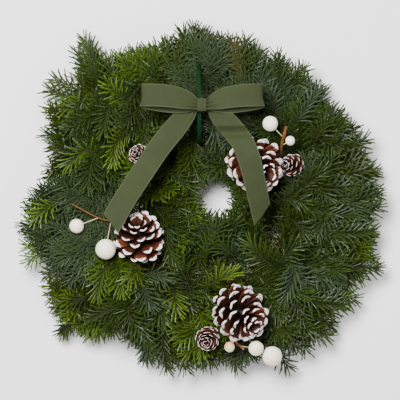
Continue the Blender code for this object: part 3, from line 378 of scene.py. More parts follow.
# Each row of a ribbon is a place on its middle line and its half width there, and a loop's last number is how
# deep it is gathered
LOOP_LINE = ((0, 2.2, 0.0, 5.8, 0.6), (-7, 2.8, 0.4, 6.3, 0.6), (-16, 6.0, 4.0, 10.0, 0.5),
             (-29, 9.5, 7.5, 11.8, 0.2), (-45, 11.0, 9.5, 12.4, 0.0), (-60, 9.5, 10.0, 12.5, 0.0),
             (-66, 5.5, 9.8, 12.5, 0.0), (-62, 1.5, 7.5, 12.5, 0.0), (-47, -0.2, 4.5, 12.4, 0.0),
             (-29, -0.5, 2.0, 11.8, 0.2), (-15, -0.8, 0.5, 9.2, 0.4), (-7, -1.2, 0.0, 6.3, 0.4),
             (0, -1.0, 0.0, 5.8, 0.4))
LEFT_TAIL = ((-1.5, 102.6, 75.4, 5.2), (-6.5, 101.6, 75.4, 5.8), (-15.0, 91.5, 75.8, 10.0),
             (-27.0, 77.0, 79.0, 12.2), (-44.0, 56.0, 83.5, 12.5), (-63.0, 28.0, 85.0, 12.5),
             (-82.0, -1.0, 87.5, 12.5), (-98.0, -28.5, 90.5, 12.5))
RIGHT_TAIL = ((5.5, 102.6, 75.4, 5.2), (10.5, 101.6, 75.2, 5.8), (19.5, 90.5, 76.6, 10.0),
              (27.0, 83.5, 80.0, 12.0), (38.0, 71.0, 82.5, 12.5), (47.0, 58.0, 86.0, 12.5),
              (53.5, 41.0, 92.5, 12.5), (59.0, 19.0, 91.5, 12.5), (63.5, -2.0, 88.5, 12.5),
              (67.5, -19.0, 83.5, 12.5))
TIE_PATH = ((86, 1.2), (114, 1.2), (131, 7), (141, 20), (146, 36), (144, 51), (135, 62), (120, 69),
            (102, 70.2), (86, 69.5), (72, 64), (63, 53), (60, 40), (63, 24), (73, 9))
# Each cone is its middle, the way it points, its length, its widest radius and how many scales it has
CONES = {
    "pine_cone_left": ((-67.6, -45.6, 57.0), (-0.06, 0.68, 0.73), 38.0, 29.5, 50),
    "pine_cone_bottom": ((41.3, -124.9, 60.0), (0.57, -0.50, 0.65), 46.0, 31.5, 58),
    "pine_cone_right": ((58.5, 38.0, 55.0), (0.46, -0.40, 0.79), 46.0, 32.0, 56),
    "larch_cone_right": ((102.8, 35.4, 42.0), (-0.62, 0.10, 0.78), 22.0, 13.8, 46),
    "larch_cone_bottom": ((8.5, -153.5, 54.0), (-0.20, -0.42, 0.88), 20.0, 14.0, 46),
    "larch_cone_left": ((-66.5, 46.0, 60.0), (-0.40, 0.25, 0.88), 19.0, 12.0, 46),
}
BERRIES = {
    "berry_right_large": ((76.5, 80.9, 62.0), 8.5),
    "berry_right_small": ((98.4, 62.2, 60.0), 5.3),
    "berry_left_small": ((-135.9, -31.4, 52.0), 8.0),
    "berry_left_large": ((-104.0, -56.7, 60.0), 11.2),
    "berry_bottom_large": ((78.7, -174.4, 48.0), 11.0),
    "berry_bottom_middle": ((61.0, -165.5, 57.0), 8.3),
    "berry_bottom_small": ((31.9, -164.0, 52.0), 5.8),
}
# How much room the shoots' middle lines leave round each thing
KNOT_ROOM, TAIL_ROOM, LOOP_ROOM, TIE_ROOM, WIRE_ROOM, PICK_ROOM = 14.0, 17.0, 16.0, 6.5, 4.2, 4.5
CONE_ROOM, BERRY_ROOM = 2.5, 5.0
PICKS = ("pick_right", "pick_left", "pick_bottom", "larch_wire_left")


def polar(centre, angle, radius, height):
    turn = math.radians(angle)
    return np.array([centre[0] + radius * math.cos(turn), centre[1] + radius * math.sin(turn), height])


def reach_at(angle):
    wrapped = REACH + REACH[:1]
    return float(np.interp(angle % 360.0, np.arange(len(wrapped)) * 360.0 / len(REACH), wrapped))


def side_shoot(main, share, turn, lift, length):
    """A straight side shoot, turned away from the main one by an angle in the wreath's plane."""
    index = max(1, int(round(share * (len(main) - 1))))
    ahead = unit((main[min(index + 1, len(main) - 1)] - main[index - 1]) * (1, 1, 0))
    angle = math.radians(turn)
    heading = np.array([ahead[0] * math.cos(angle) - ahead[1] * math.sin(angle),
                        ahead[0] * math.sin(angle) + ahead[1] * math.cos(angle), lift])
    return index, resampled([main[index], main[index] + length * unit(heading)], POINT_SPACING)


def keep_within_reach(line, margin):
    """Shortens a shoot whose tip would stand out past the wreath's outline."""
    place = line[-1] - RING_CENTRE
    limit = reach_at(math.degrees(math.atan2(place[1], place[0]))) - NEEDLE_OVERHANG - margin
    over = np.linalg.norm(place[:2]) - limit
    if over <= 0:
        return line
    share = max(0.45, 1 - over / np.linalg.norm(line[-1] - line[0]))
    return resampled([line[0], line[0] + share * (line[-1] - line[0])], POINT_SPACING)


def outer_spray(angle, draw):
    """Lies along the ring's outer side, then swings out to the wreath's outline."""
    track = [on_ring(angle + a, RING_RADIUS + RING_HALF_WIDTH + SIDE_STANDOFF, 9.5) for a in (-6, 0, 6, 9)]
    tip_angle = angle + 21 + draw.uniform(-3, 3)
    reach = reach_at(tip_angle) - NEEDLE_OVERHANG
    bend = [on_ring(angle + 14, 126, 13), on_ring(angle + 18, (126 + reach) / 2, 20 + draw.uniform(-4, 4))]
    main = smooth_line(track + bend + [on_ring(tip_angle, reach, draw.uniform(10, 20))], POINT_SPACING)
    sides = []
    for share, turn, length in ((0.5, 37, 66), (0.58, -37, 58)):
        index, line = side_shoot(main, share, turn + draw.uniform(-4, 4), draw.uniform(0.05, 0.3), length)
        sides.append((index, keep_within_reach(line, 4.0)))
    return main, sides


def crown_spray(angle, draw):
    """Lies along the ring's crown and covers the wire, then spreads to both sides."""
    track = [on_ring(angle + a, RING_RADIUS + 3, RING_HEIGHT + CROWN_STANDOFF) for a in (7, 13, 19, 22)]
    bend = [on_ring(angle + 29, 104, 32), on_ring(angle + 41, 116 + draw.uniform(-4, 4), 44)]
    tip = on_ring(angle + 54 + draw.uniform(-4, 4), 140 + draw.uniform(-8, 8), 47 + draw.uniform(-4, 4))
    main = smooth_line(track + bend + [tip], POINT_SPACING)
    sides = []
    for share, turn, length in ((0.5, -52, 62), (0.62, 46, 46)):
        sides.append(side_shoot(main, share, turn + draw.uniform(-6, 6), draw.uniform(0.0, 0.2), length))
    return main, sides


def inner_spray(angle, draw):
    """Lies along the ring's inner side, then turns in towards the hole."""
    inside = RING_RADIUS - RING_HALF_WIDTH - SIDE_STANDOFF - 0.2
    track = [on_ring(angle + a, inside, 10.5) for a in (-10, -3, 3, 6)]
    bend = [on_ring(angle + 14, 74, 22)]
    toward = on_ring(angle + 34 + draw.uniform(-4, 4), 50, 0) - HOLE_CENTRE
    heading = math.degrees(math.atan2(toward[1], toward[0]))
    tip = polar(HOLE_CENTRE, heading, HOLE_RADIUS + NEEDLE_OVERHANG, 32 + draw.uniform(-8, 8))
    main = smooth_line(track + bend + [tip], POINT_SPACING)
    sides = []
    for share, turn, lift, length in ((0.5, -38, 0.9, 40), (0.66, 34, 0.2, 30)):
        sides.append(side_shoot(main, share, turn + draw.uniform(-6, 6), lift, length))
    return main, sides


def lay_out_sprays(draw):
    """Every spray as its name, its shoots' middle lines and where its side shoots start."""
    sprays = []
    for row, layer in (("outer", outer_spray), ("crown", crown_spray), ("inner", inner_spray)):
        for k in range(SLOTS):
            main, sides = layer(FIRST_WINDING + k * SLOT_STEP, draw)
            lines = [main] + [line for index, line in sides]
            sprays.append((f"{row}_spray_{k + 1:02d}", lines, [index for index, line in sides]))
    return sprays


def room_balls():
    """Balls that the shoots' middle lines stay out of, as centres and radii."""
    balls = [(BOW_CENTRE, KNOT_ROOM)]
    for line in (LEFT_TAIL, RIGHT_TAIL):
        balls += [(place, TAIL_ROOM) for place in smooth_line(np.array(line)[:, :3], 9.0)]
    for row in LOOP_LINE:
        balls += [(BOW_CENTRE + np.array([side * row[0], row[2], row[1]]), LOOP_ROOM) for side in (-1, 1)]
    tie = np.array([(0.0, y, z) for y, z in TIE_PATH + TIE_PATH[:1]])
    balls += [(place, TIE_ROOM) for place in resampled(tie, 5.0)]
    balls += [(place, WIRE_ROOM) for place in wire_path(5.0)]
    for centre, axis, length, girth, scales in CONES.values():
        way = unit(np.array(axis, float))
        balls.append((np.array(centre) + 0.08 * length * way, girth + CONE_ROOM))
        balls.append((np.array(centre) - 0.30 * length * way, 0.85 * girth))
    balls += [(np.array(centre), radius + BERRY_ROOM) for centre, radius in BERRIES.values()]
    for name in PICKS:
        corners = 1000 * np.array([v.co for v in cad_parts[name].data.vertices]) - SHIFT
        balls += [(corner, PICK_ROOM) for corner in np.unique(corners.round(3), axis=0)]
    return np.array([centre for centre, radius in balls]), np.array([radius for centre, radius in balls])


def ring_push(points):
    """Keeps lines out of the straw ring and of the wire round it."""
    flat = (points - RING_CENTRE) * (1, 1, 0)
    away_from_middle = flat / np.maximum(np.linalg.norm(flat, axis=1, keepdims=True), 1e-6)
    away = points - (RING_CENTRE + RING_RADIUS * away_from_middle + RING_HEIGHT / 2 * UP)
    distance = np.linalg.norm(away, axis=1, keepdims=True)
    return away / np.maximum(distance, 1e-6) * np.maximum(0.0, RING_HEIGHT / 2 + RING_ROOM - distance)


def hole_push(points):
    """Keeps lines so far from the hole that their needles leave it open."""
    flat = (points - HOLE_CENTRE) * (1, 1, 0)
    distance = np.linalg.norm(flat, axis=1, keepdims=True)
    clear = HOLE_RADIUS + 0.6 * NEEDLE_OVERHANG
    return flat / np.maximum(distance, 1e-6) * np.maximum(0.0, clear - distance)


def spread_apart(sprays, centres, radii):
    """Eases the shoots' middle lines apart, and clear of everything else, without stretching them."""
    lines, owner, bound, starts = [], [], [], []
    for number, (name, own, side_starts) in enumerate(sprays):
        first = len(lines)
        for place, line in enumerate(own):
            lines.append(line.copy())
            owner.append(number)
            bound.append(BOUND_POINTS if place == 0 else 1)
            starts.append(None if place == 0 else (first, side_starts[place - 1]))
    lengths = [np.linalg.norm(line[1] - line[0]) for line in lines]
    label = np.concatenate([[i] * len(line) for i, line in enumerate(lines)])
    group = np.array(owner)[label]
    rank = np.concatenate([np.arange(len(line)) for line in lines])
    free = np.clip((rank - np.array(bound)[label] + 1) / 3.0, 0.0, 1.0)
    edges = np.cumsum([0] + [len(line) for line in lines])
    for step in range(EASING_ROUNDS):
        points = np.concatenate(lines)
        gap = points[:, None, :] - points[None, :, :]
        distance = np.linalg.norm(gap, axis=2)
        near = (distance < CORE_SPACING) & (label[:, None] != label[None, :])
        near &= ~((group[:, None] == group[None, :]) & (np.minimum(rank[:, None], rank[None, :]) < 3))
        strength = np.where(near, (CORE_SPACING - distance) / np.maximum(distance, 0.5), 0.0)
        push = 0.5 * (gap * strength[:, :, None]).sum(axis=1)
        away = points[:, None, :] - centres[None, :, :]
        reach = np.linalg.norm(away, axis=2)
        strength = np.where(reach < radii, (radii - reach) / np.maximum(reach, 0.5), 0.0)
        push += (away * strength[:, :, None]).sum(axis=1)
        push[:, 2] += np.maximum(0.0, LOWEST_CORE - points[:, 2])
        push += ring_push(points) + hole_push(points)
        size = np.linalg.norm(push, axis=1, keepdims=True)
        points += push * np.minimum(1.0, MOST_MOVE / np.maximum(size, 1e-6)) * free[:, None]
        for i, line in enumerate(lines):
            fresh = points[edges[i]:edges[i + 1]]
            if starts[i] is not None:
                fresh[0] = lines[starts[i][0]][starts[i][1]]
            easing = EASING * free[edges[i] + 1:edges[i + 1] - 1, None]
            fresh[1:-1] += easing * (0.5 * (fresh[:-2] + fresh[2:]) - fresh[1:-1])
            for n in range(max(1, bound[i]), len(fresh)):
                fresh[n] = fresh[n - 1] + lengths[i] * unit(fresh[n] - fresh[n - 1])
            lines[i] = fresh
    result, cursor = [], 0
    for name, own, side_starts in sprays:
        result.append((name, lines[cursor:cursor + len(own)]))
        cursor += len(own)
    return result


# Twigs fill each spray out: short side shoots that take the freest of a few directions, each turned and
# raised by a random amount between two limits
TWIG_TURN, TWIG_RISE = (30.0, 58.0), (-0.25, 0.55)
TWIG_STEP, TWIG_SHORTEST, TWIG_LONGEST, TWIG_TRIALS, TWIG_LEAST_ROOM = 10.0, 26.0, 56.0, 10, 4.5
TWIG_HIGHEST, TWIG_LOWEST, TWIG_MARGIN, TWIG_SAG = 46.0, 7.0, 5.0, 0.0012
# Where a shoot's first twig grows, past its bound stretch or just past its start, and how near its tip the
# last one is. The second round's twigs are shorter and further apart
FIRST_ON_MAIN, FIRST_ON_SIDE, TWIG_END, SECOND_SHORTER, SECOND_WIDER = 42.0, 14.0, 10.0, 0.7, 1.6
LINE_STEP = 3.0


def freest_twig(start, ahead, side, length, taken, centres, radii, draw):
    """The trial with the most room round its outer half, or None if all are hemmed in."""
    best, most = None, TWIG_LEAST_ROOM
    across = unit(np.cross(UP, ahead))
    for trial in range(TWIG_TRIALS):
        turn = math.radians(side * draw.uniform(*TWIG_TURN))
        heading = unit(math.cos(turn) * ahead + math.sin(turn) * across + draw.uniform(*TWIG_RISE) * UP)
        end = start + length * draw.uniform(0.8, 1.1) * heading
        line = resampled([start, end], 6.0)
        line[:, 2] -= TWIG_SAG * np.linspace(0, 1, len(line)) ** 2 * length ** 2
        outer = line[len(line) // 2:]
        away = np.linalg.norm(outer[:, None, :] - centres[None], axis=2) - radii[None]
        if away.min() < 0.0 or outer[:, 2].min() < TWIG_LOWEST or outer[:, 2].max() > TWIG_HIGHEST:
            continue
        if np.abs(ring_push(outer)).max() > 0.5 or np.abs(hole_push(outer)).max() > 0.5:
            continue
        place = line[-1] - RING_CENTRE
        limit = reach_at(math.degrees(math.atan2(place[1], place[0]))) - NEEDLE_OVERHANG - TWIG_MARGIN
        if np.linalg.norm(place[:2]) > limit:
            continue
        room = np.linalg.norm(outer[:, None, :] - taken[None], axis=2).min() + 0.05 * outer[-1, 2]
        if room > most:
            best, most = line, room
    return best


def with_twigs(sprays, centres, radii, draw):
    """The sprays with twigs on their lower shoots, which fill in between the plumes."""
    taken = np.concatenate([shoot[0] for name, shoots in sprays for shoot in shoots])
    for level in range(2):
        for name, shoots in sprays:
            for line, is_twig, young, kind in list(shoots):
                if young is not None or (is_twig and level == 0):
                    continue
                total = np.linalg.norm(np.diff(line, axis=0), axis=1).sum()
                fine = resampled(line, LINE_STEP)
                side = 1 if draw.uniform() < 0.5 else -1
                place = (FIRST_ON_MAIN if line is shoots[0][0] else FIRST_ON_SIDE) + draw.uniform(0, 5)
                while place < total - TWIG_END:
                    index = min(len(fine) - 2, int(place / LINE_STEP))
                    ahead = unit(fine[index + 1] - fine[index])
                    length = min(TWIG_LONGEST, max(TWIG_SHORTEST, 0.62 * (total - place) + 12.0))
                    length *= SECOND_SHORTER if level else 1.0
                    twig = freest_twig(fine[index], ahead, side, length, taken, centres, radii, draw)
                    if twig is not None:
                        shoots.append((twig, True, None, kind))
                        taken = np.concatenate([taken, twig[1:]])
                    side = -side
                    place += TWIG_STEP * (SECOND_WIDER if level else 1.0)
    return sprays


BLUE_SLOTS = {"outer": (11, 12, 7, 4), "crown": (11, 12, 9, 3), "inner": (12, 10, 7)}
FRESH_SLOTS = {"outer": (2, 5, 9), "crown": (1, 4, 6), "inner": (3, 5)}
# A side shoot of another fir than the rest of its spray
TIED_IN = {("crown_spray_04", 1): "blue"}

# The shoots that lie on top: where each starts and ends in the wreath's plane, which fir, and how young it is
PLUMES = (
    (-108, 129, -128, 174, "green", 0.35), (-127, 116, -160, 130, "green", 0.5),
    (-130, 107, -166, 118, "green", 0.4), (-124, 103, -166, 97, "fresh", 0.6),
    (-108, 98, -146, 78, "green", 0.6), (-102, 105, -106, 73, "green", 0.4), (-96, 65, -96, 39, "fresh", 0.6),
    (-119, 61, -147, 36, "fresh", 0.5), (-137, 50, -162, 55, "green", 0.1),
    (-118, 50, -124, 13, "green", 0.2), (-150, 43, -163, 30, "green", 0.3), (-141, 6, -165, 13, "blue", 0.1),
    (-96, 120, -100, 153, "green", 0.5), (-68, 131, -72, 160, "green", 0.1),
    (-47, 127, -36, 171, "green", 0.3), (-55, 129, -48, 165, "green", 0.5), (-8, 145, -7, 188, "green", 0.2),
    (9, 129, 6, 178, "blue", 0.1), (14, 135, 24, 172, "blue", 0.2), (-86, 109, -101, 123, "fresh", 0.6),
    (-66, 98, -82, 84, "green", 0.0), (-70, 124, -82, 101, "green", 0.0), (-66, 82, -92, 78, "green", 0.05),
    (42, 146, 36, 170, "browned", 0.1), (43, 142, 50, 172, "green", 0.4), (71, 118, 63, 147, "blue", 0.1),
    (83, 87, 74, 123, "blue", 0.0), (92, 125, 83, 155, "green", 0.3), (98, 118, 113, 142, "green", 0.6),
    (101, 76, 129, 118, "blue", 0.1), (123, 61, 142, 87, "green", 0.4), (140, 50, 167, 76, "green", 0.4),
    (153, 46, 180, 63, "green", 0.3), (156, 21, 186, 32, "green", 0.4), (131, 15, 147, 47, "green", 0.2),
    (159, -8, 196, 5, "green", 0.4), (90, 6, 114, -7, "green", 0.3), (148, -42, 188, -37, "green", 0.5),
    (167, -25, 196, -8, "green", 0.4), (129, -45, 167, -47, "green", 0.2), (148, -75, 194, -78, "green", 0.3),
    (113, -115, 158, -119, "green", 0.5), (96, -137, 139, -152, "green", 0.4),
    (93, -140, 103, -163, "blue", 0.1), (81, -163, 96, -186, "blue", 0.2), (47, -161, 35, -179, "blue", 0.0),
    (109, -71, 92, -113, "blue", 0.1), (101, -82, 125, -100, "blue", 0.1), (112, -82, 153, -93, "blue", 0.1),
    (70, -71, 54, -50, "green", 0.6), (79, -71, 109, -51, "green", 0.3), (6, -97, 36, -83, "fresh", 0.6),
    (-162, -6, -184, -24, "fresh", 1.0), (-170, -30, -188, -40, "green", 0.0),
    (-178, -54, -187, -14, "green", 0.0), (-174, -54, -188, -70, "fresh", 0.9),
    (-135, -40, -170, -29, "blue", 0.1), (-115, -53, -161, -60, "blue", 0.0),
    (-110, -60, -142, -52, "blue", 0.0), (-122, -64, -154, -74, "blue", 0.0),
    (-124, -46, -156, -42, "blue", 0.0), (12, 92, 18, 62, "blue", 0.1), (27, 92, 29, 58, "blue", 0.0),
    (40, 84, 36, 56, "blue", 0.0), (-118, -62, -144, -93, "blue", 0.0), (-144, -78, -168, -85, "green", 0.2),
    (-106, -71, -114, -108, "fresh", 0.35), (-91, -71, -87, -104, "fresh", 0.35),
    (-65, -71, -78, -89, "fresh", 0.5), (-117, -104, -157, -122, "green", 0.1),
    (-126, -117, -153, -149, "green", 0.1), (-89, -117, -124, -135, "green", 0.3),
    (-86, -115, -67, -155, "green", 0.4), (-73, -126, -56, -162, "green", 0.3),
    (-67, -102, -53, -119, "blue", 0.1), (-31, -97, -26, -124, "fresh", 0.7),
    (-42, -159, -37, -188, "green", 0.3), (-25, -161, -16, -189, "green", 0.4),
    (-60, -150, -58, -176, "blue", 0.1), (-12, -161, 3, -180, "green", 0.4),
    (-38, -23, -16, -47, "green", 0.1), (43, -71, 15, -47, "green", 0.3), (-12, -91, -28, -71, "green", 0.2),
    (-45, -47, -28, -71, "green", 0.3), (-56, -74, -39, -91, "blue", 0.1), (120, 19, 142, -3, "green", 0.3),
    (142, -8, 129, -38, "blue", 0.1), (70, -140, 88, -158, "green", 0.2),
    (104, -122, 122, -147, "green", 0.3), (-34, 134, -16, 166, "green", 0.3),
    (60, 138, 66, 158, "green", 0.3), (-112, 124, -122, 168, "green", 0.4),
    (-116, 122, -135, 160, "green", 0.3), (122, 8, 166, 12, "green", 0.3), (126, -16, 172, -20, "green", 0.3),
    (116, -30, 150, -34, "green", 0.2), (138, 30, 176, 42, "green", 0.3), (108, 12, 136, 28, "green", 0.3),
    (112, -8, 140, -14, "green", 0.2), (96, -22, 118, -42, "green", 0.2), (-172, -8, -188, -12, "fresh", 0.8),
    (-176, -50, -190, -54, "fresh", 0.8), (-150, -30, -180, -36, "green", 0.2))
INWARD_SHOOTS, INWARD_START, INWARD_TIP, INWARD_SWIRL = 13, 48.0, 27.5, 28.0
PLUME_STEP, PLUME_RISE, PLUME_LIFT, YOUNG_LIFT, PLUME_EASINGS = 6.0, 4.0, 3.0, 8.0, 25
# A shoot of another fir counts as this much further off, less where the new one is young
OTHER_KIND = 20.0
# How high the top side lies over the ring, and how it slopes outside and inside that crown
TOP_HEIGHT, CROWN_OUT, OUTER_SLOPE, CROWN_IN, INNER_SLOPE = 51.0, 125.0, 0.40, 75.0, 0.35


def kind_of_fir(name):
    row, number = name.split("_")[0], int(name[-2:])
    if number in BLUE_SLOTS[row]:
        return "blue"
    return "fresh" if number in FRESH_SLOTS[row] else "green"


def on_top(x, y):
    """A point on the wreath's top side, which is highest over the ring and falls towards both edges."""
    out = math.hypot(x - RING_CENTRE[0], y)
    fall = OUTER_SLOPE * max(0.0, out - CROWN_OUT)
    return np.array([x, y, TOP_HEIGHT - fall - INNER_SLOPE * max(0.0, CROWN_IN - out)])


def inward_plumes():
    """A ring of short shoots that closes in on the hole."""
    rows = []
    for k in range(INWARD_SHOOTS):
        turn = 360.0 * k / INWARD_SHOOTS + 12.0
        start = polar(HOLE_CENTRE, turn - INWARD_SWIRL, INWARD_START, 0.0)
        tip = polar(HOLE_CENTRE, turn, INWARD_TIP + 2.5 * (k % 3 - 1), 0.0)
        rows.append((start[0], start[1], tip[0], tip[1], "green", 0.25 + 0.1 * (k % 4)))
    return tuple(rows)


def tied_shoot(root, start, tip, centres, radii):
    """A shoot from where it is tied in, past its start to its tip, eased clear of the other things."""
    line = smooth_line([root, start, (start + tip) / 2 + PLUME_RISE * UP, tip], PLUME_STEP)
    for easing in range(PLUME_EASINGS):
        away = line[1:, None, :] - centres[None]
        reach = np.linalg.norm(away, axis=2)
        strength = np.where(reach < radii, (radii - reach) / np.maximum(reach, 0.5), 0.0)
        line[1:] += 0.5 * np.clip((away * strength[:, :, None]).sum(axis=1), -4.0, 4.0)
        line[1:-1] += 0.25 * (0.5 * (line[:-2] + line[2:]) - line[1:-1])
    return line


def with_plumes(sprays, centres, radii):
    """Adds the top shoots, each grown from the nearest shoot, or from one of its own fir a little further."""
    full = [(name, [(line, False, None, TIED_IN.get((name, place), kind_of_fir(name)))
                    for place, line in enumerate(lines)]) for name, lines in sprays]
    spots = np.concatenate([line[2:] for name, lines in sprays for line in lines])
    owners = np.concatenate([[number] * (len(line) - 2) for number, (name, lines) in enumerate(sprays)
                             for line in lines])
    kinds = np.array([kind_of_fir(name) for name, lines in sprays])[owners]
    for x, y, tip_x, tip_y, kind, young in PLUMES + inward_plumes():
        lift = (PLUME_LIFT + YOUNG_LIFT * young) * UP
        start, tip = on_top(x, y) + lift, on_top(tip_x, tip_y) + lift
        unlike = np.where(kinds == kind, 0.0, OTHER_KIND * (1.0 - young))
        nearest = int(np.argmin(np.linalg.norm(spots - start, axis=1) + unlike))
        line = tied_shoot(spots[nearest], start, tip, centres, radii)
        full[owners[nearest]][1].append((line, True, young, kind))
    return full


# Short ends are tucked in wherever the ring or the floor would show between the shoots
TUCK_STEP, TUCK_GAP, TUCK_LENGTH, TUCK_DEPTH = 6.0, 9.0, 34.0, 6.0
TUCK_HEIGHTS, TUCK_HOLE, TUCK_EDGE = (42.0, 36.0, 30.0, 24.0, 18.0, 12.0, 8.0), 25.0, 28.0
TUCK_HIGHEST, NEAR_HOLE, TURN_FROM_HOLE = 54.0, 48.0, 1.6
# The bow and the cones are big enough to cover what lies under them
COVERING_RADIUS, COVERED_SHARE = 19.0, 0.8


def with_tucked_ends(sprays, centres, radii, draw):
    """Fills each bare spot, looked for from above, with an end that follows the nearest shoot."""
    places, ways, owners, firs = [], [], [], []
    for number, (name, shoots) in enumerate(sprays):
        for place, (line, is_twig, young, kind) in enumerate(shoots):
            fine = resampled(line, 4.0)[9 if place == 0 else 1:]
            places += list(fine)
            # A shoot with one point left after its bound stretch has no direction of its own
            way = np.gradient(fine, axis=0) if len(fine) > 1 else [np.array([1.0, 0.0, 0.0])] * len(fine)
            ways += list(way)
            owners += [number] * len(fine)
            firs += [kind] * len(fine)
    big = radii > COVERING_RADIUS
    for x in np.arange(-198.0, 215.0, TUCK_STEP):
        for y in np.arange(-198.0, 200.0, TUCK_STEP):
            spot = np.array([x, y, 0.0])
            out = spot - RING_CENTRE
            edge = reach_at(math.degrees(math.atan2(out[1], out[0]))) - TUCK_EDGE
            from_hole = np.linalg.norm(spot - HOLE_CENTRE)
            if np.linalg.norm(out) > edge or from_hole < TUCK_HOLE:
                continue
            if (np.linalg.norm((centres[big] - spot)[:, :2], axis=1) < COVERED_SHARE * radii[big]).any():
                continue
            gaps = np.linalg.norm((np.array(places) - spot)[:, :2], axis=1)
            nearest = int(np.argmin(gaps))
            if gaps[nearest] < TUCK_GAP:
                continue
            top = on_top(x, y)[2] - TUCK_DEPTH
            for height in TUCK_HEIGHTS:
                middle = np.array([x, y, min(top, height)])
                clear = (np.linalg.norm(centres - middle, axis=1) > radii + 2.0).all()
                if clear and np.abs(ring_push(middle[None])).max() < 1.0:
                    break
            else:
                continue
            turn = draw.uniform(-0.4, 0.4)
            way = unit(ways[nearest] * (1, 1, 0))
            if from_hole < NEAR_HOLE:
                way = unit(way - TURN_FROM_HOLE * unit(spot - HOLE_CENTRE))
            heading = np.array([way[0] * math.cos(turn) - way[1] * math.sin(turn),
                                way[0] * math.sin(turn) + way[1] * math.cos(turn), 0.0])
            start, tip = middle - 0.45 * TUCK_LENGTH * heading, middle + 0.55 * TUCK_LENGTH * heading
            line = tied_shoot(places[nearest], start, tip, centres, radii)
            line[:, 2] = np.clip(line[:, 2], TWIG_LOWEST, TUCK_HIGHEST)
            kind, number = firs[nearest], owners[nearest]
            sprays[number][1].append((line, True, None, kind))
            fine = resampled(line, 4.0)
            places += list(fine)
            ways += list(np.gradient(fine, axis=0))
            owners += [number] * len(fine)
            firs += [kind] * len(fine)
    return sprays


# A needle's two sections: the share of its length, how wide it is and how high its ridge, against its width
NEEDLE_SECTIONS = ((0.22, 0.94, 0.6), (0.90, 0.84, 0.5))


def needle_object(name, length, width, curve):
    """A blunt needle, flat below with a low ridge above, and curved up towards its tip."""
    places, along, under = [(0.0, 0.0, 0.0)], [0.0], [0.5]
    for share, wide, high in NEEDLE_SECTIONS:
        lift = curve * share ** 2
        for x, y, mark in ((-wide, 0.0, 1.0), (wide, 0.0, 1.0), (0.0, high, 0.0)):
            places.append((0.5 * width * x, 0.5 * width * y + lift, length * share))
            along.append(share)
            under.append(mark)
    places.append((0.0, curve + 0.1 * width, length))
    along.append(1.0)
    under.append(0.4)
    faces = []
    for k in range(3):
        a, b = 1 + k, 1 + (k + 1) % 3
        faces += [(0, a, b), (a, a + 3, b + 3, b), (7, b + 3, a + 3)]
    mesh = bpy.data.meshes.new(name)
    mesh.from_pydata([tuple(0.001 * np.array(place)) for place in places], [], faces)
    shape = bmesh.new()
    shape.from_mesh(mesh)
    bmesh.ops.recalc_face_normals(shape, faces=shape.faces)
    shape.to_mesh(mesh)
    shape.free()
    # The under mark is 1 on both edges of the flat underside and 0 on the ridge: pale beneath, and a painted
    # highlight along the upper facets' margins.
    mark_points(mesh, "along", along)
    mark_points(mesh, "under", under)
    return set_out(name, mesh)


# How the needles vary: the random turn and lean either way, the extra lean in each upper row and towards the
# tip, how much shorter each upper row is, and how large and how tilted a needle is at least and at most
NEEDLE_TURN, NEEDLE_NUDGE, ROW_LEAN, TIP_LEAN, ROW_SHORTER = 0.07, 0.05, 0.4, 0.3, -0.14
NEEDLE_GROWTH, NEEDLE_TILT = (0.92, 1.06), (0.35, 0.35, 0.2)
# How far from everything else a needle's tip stays, and the least size of one that is kept, in metres and as
# a share
NEEDLE_ROOM, LEAST_SIZE = 0.0012, 0.3


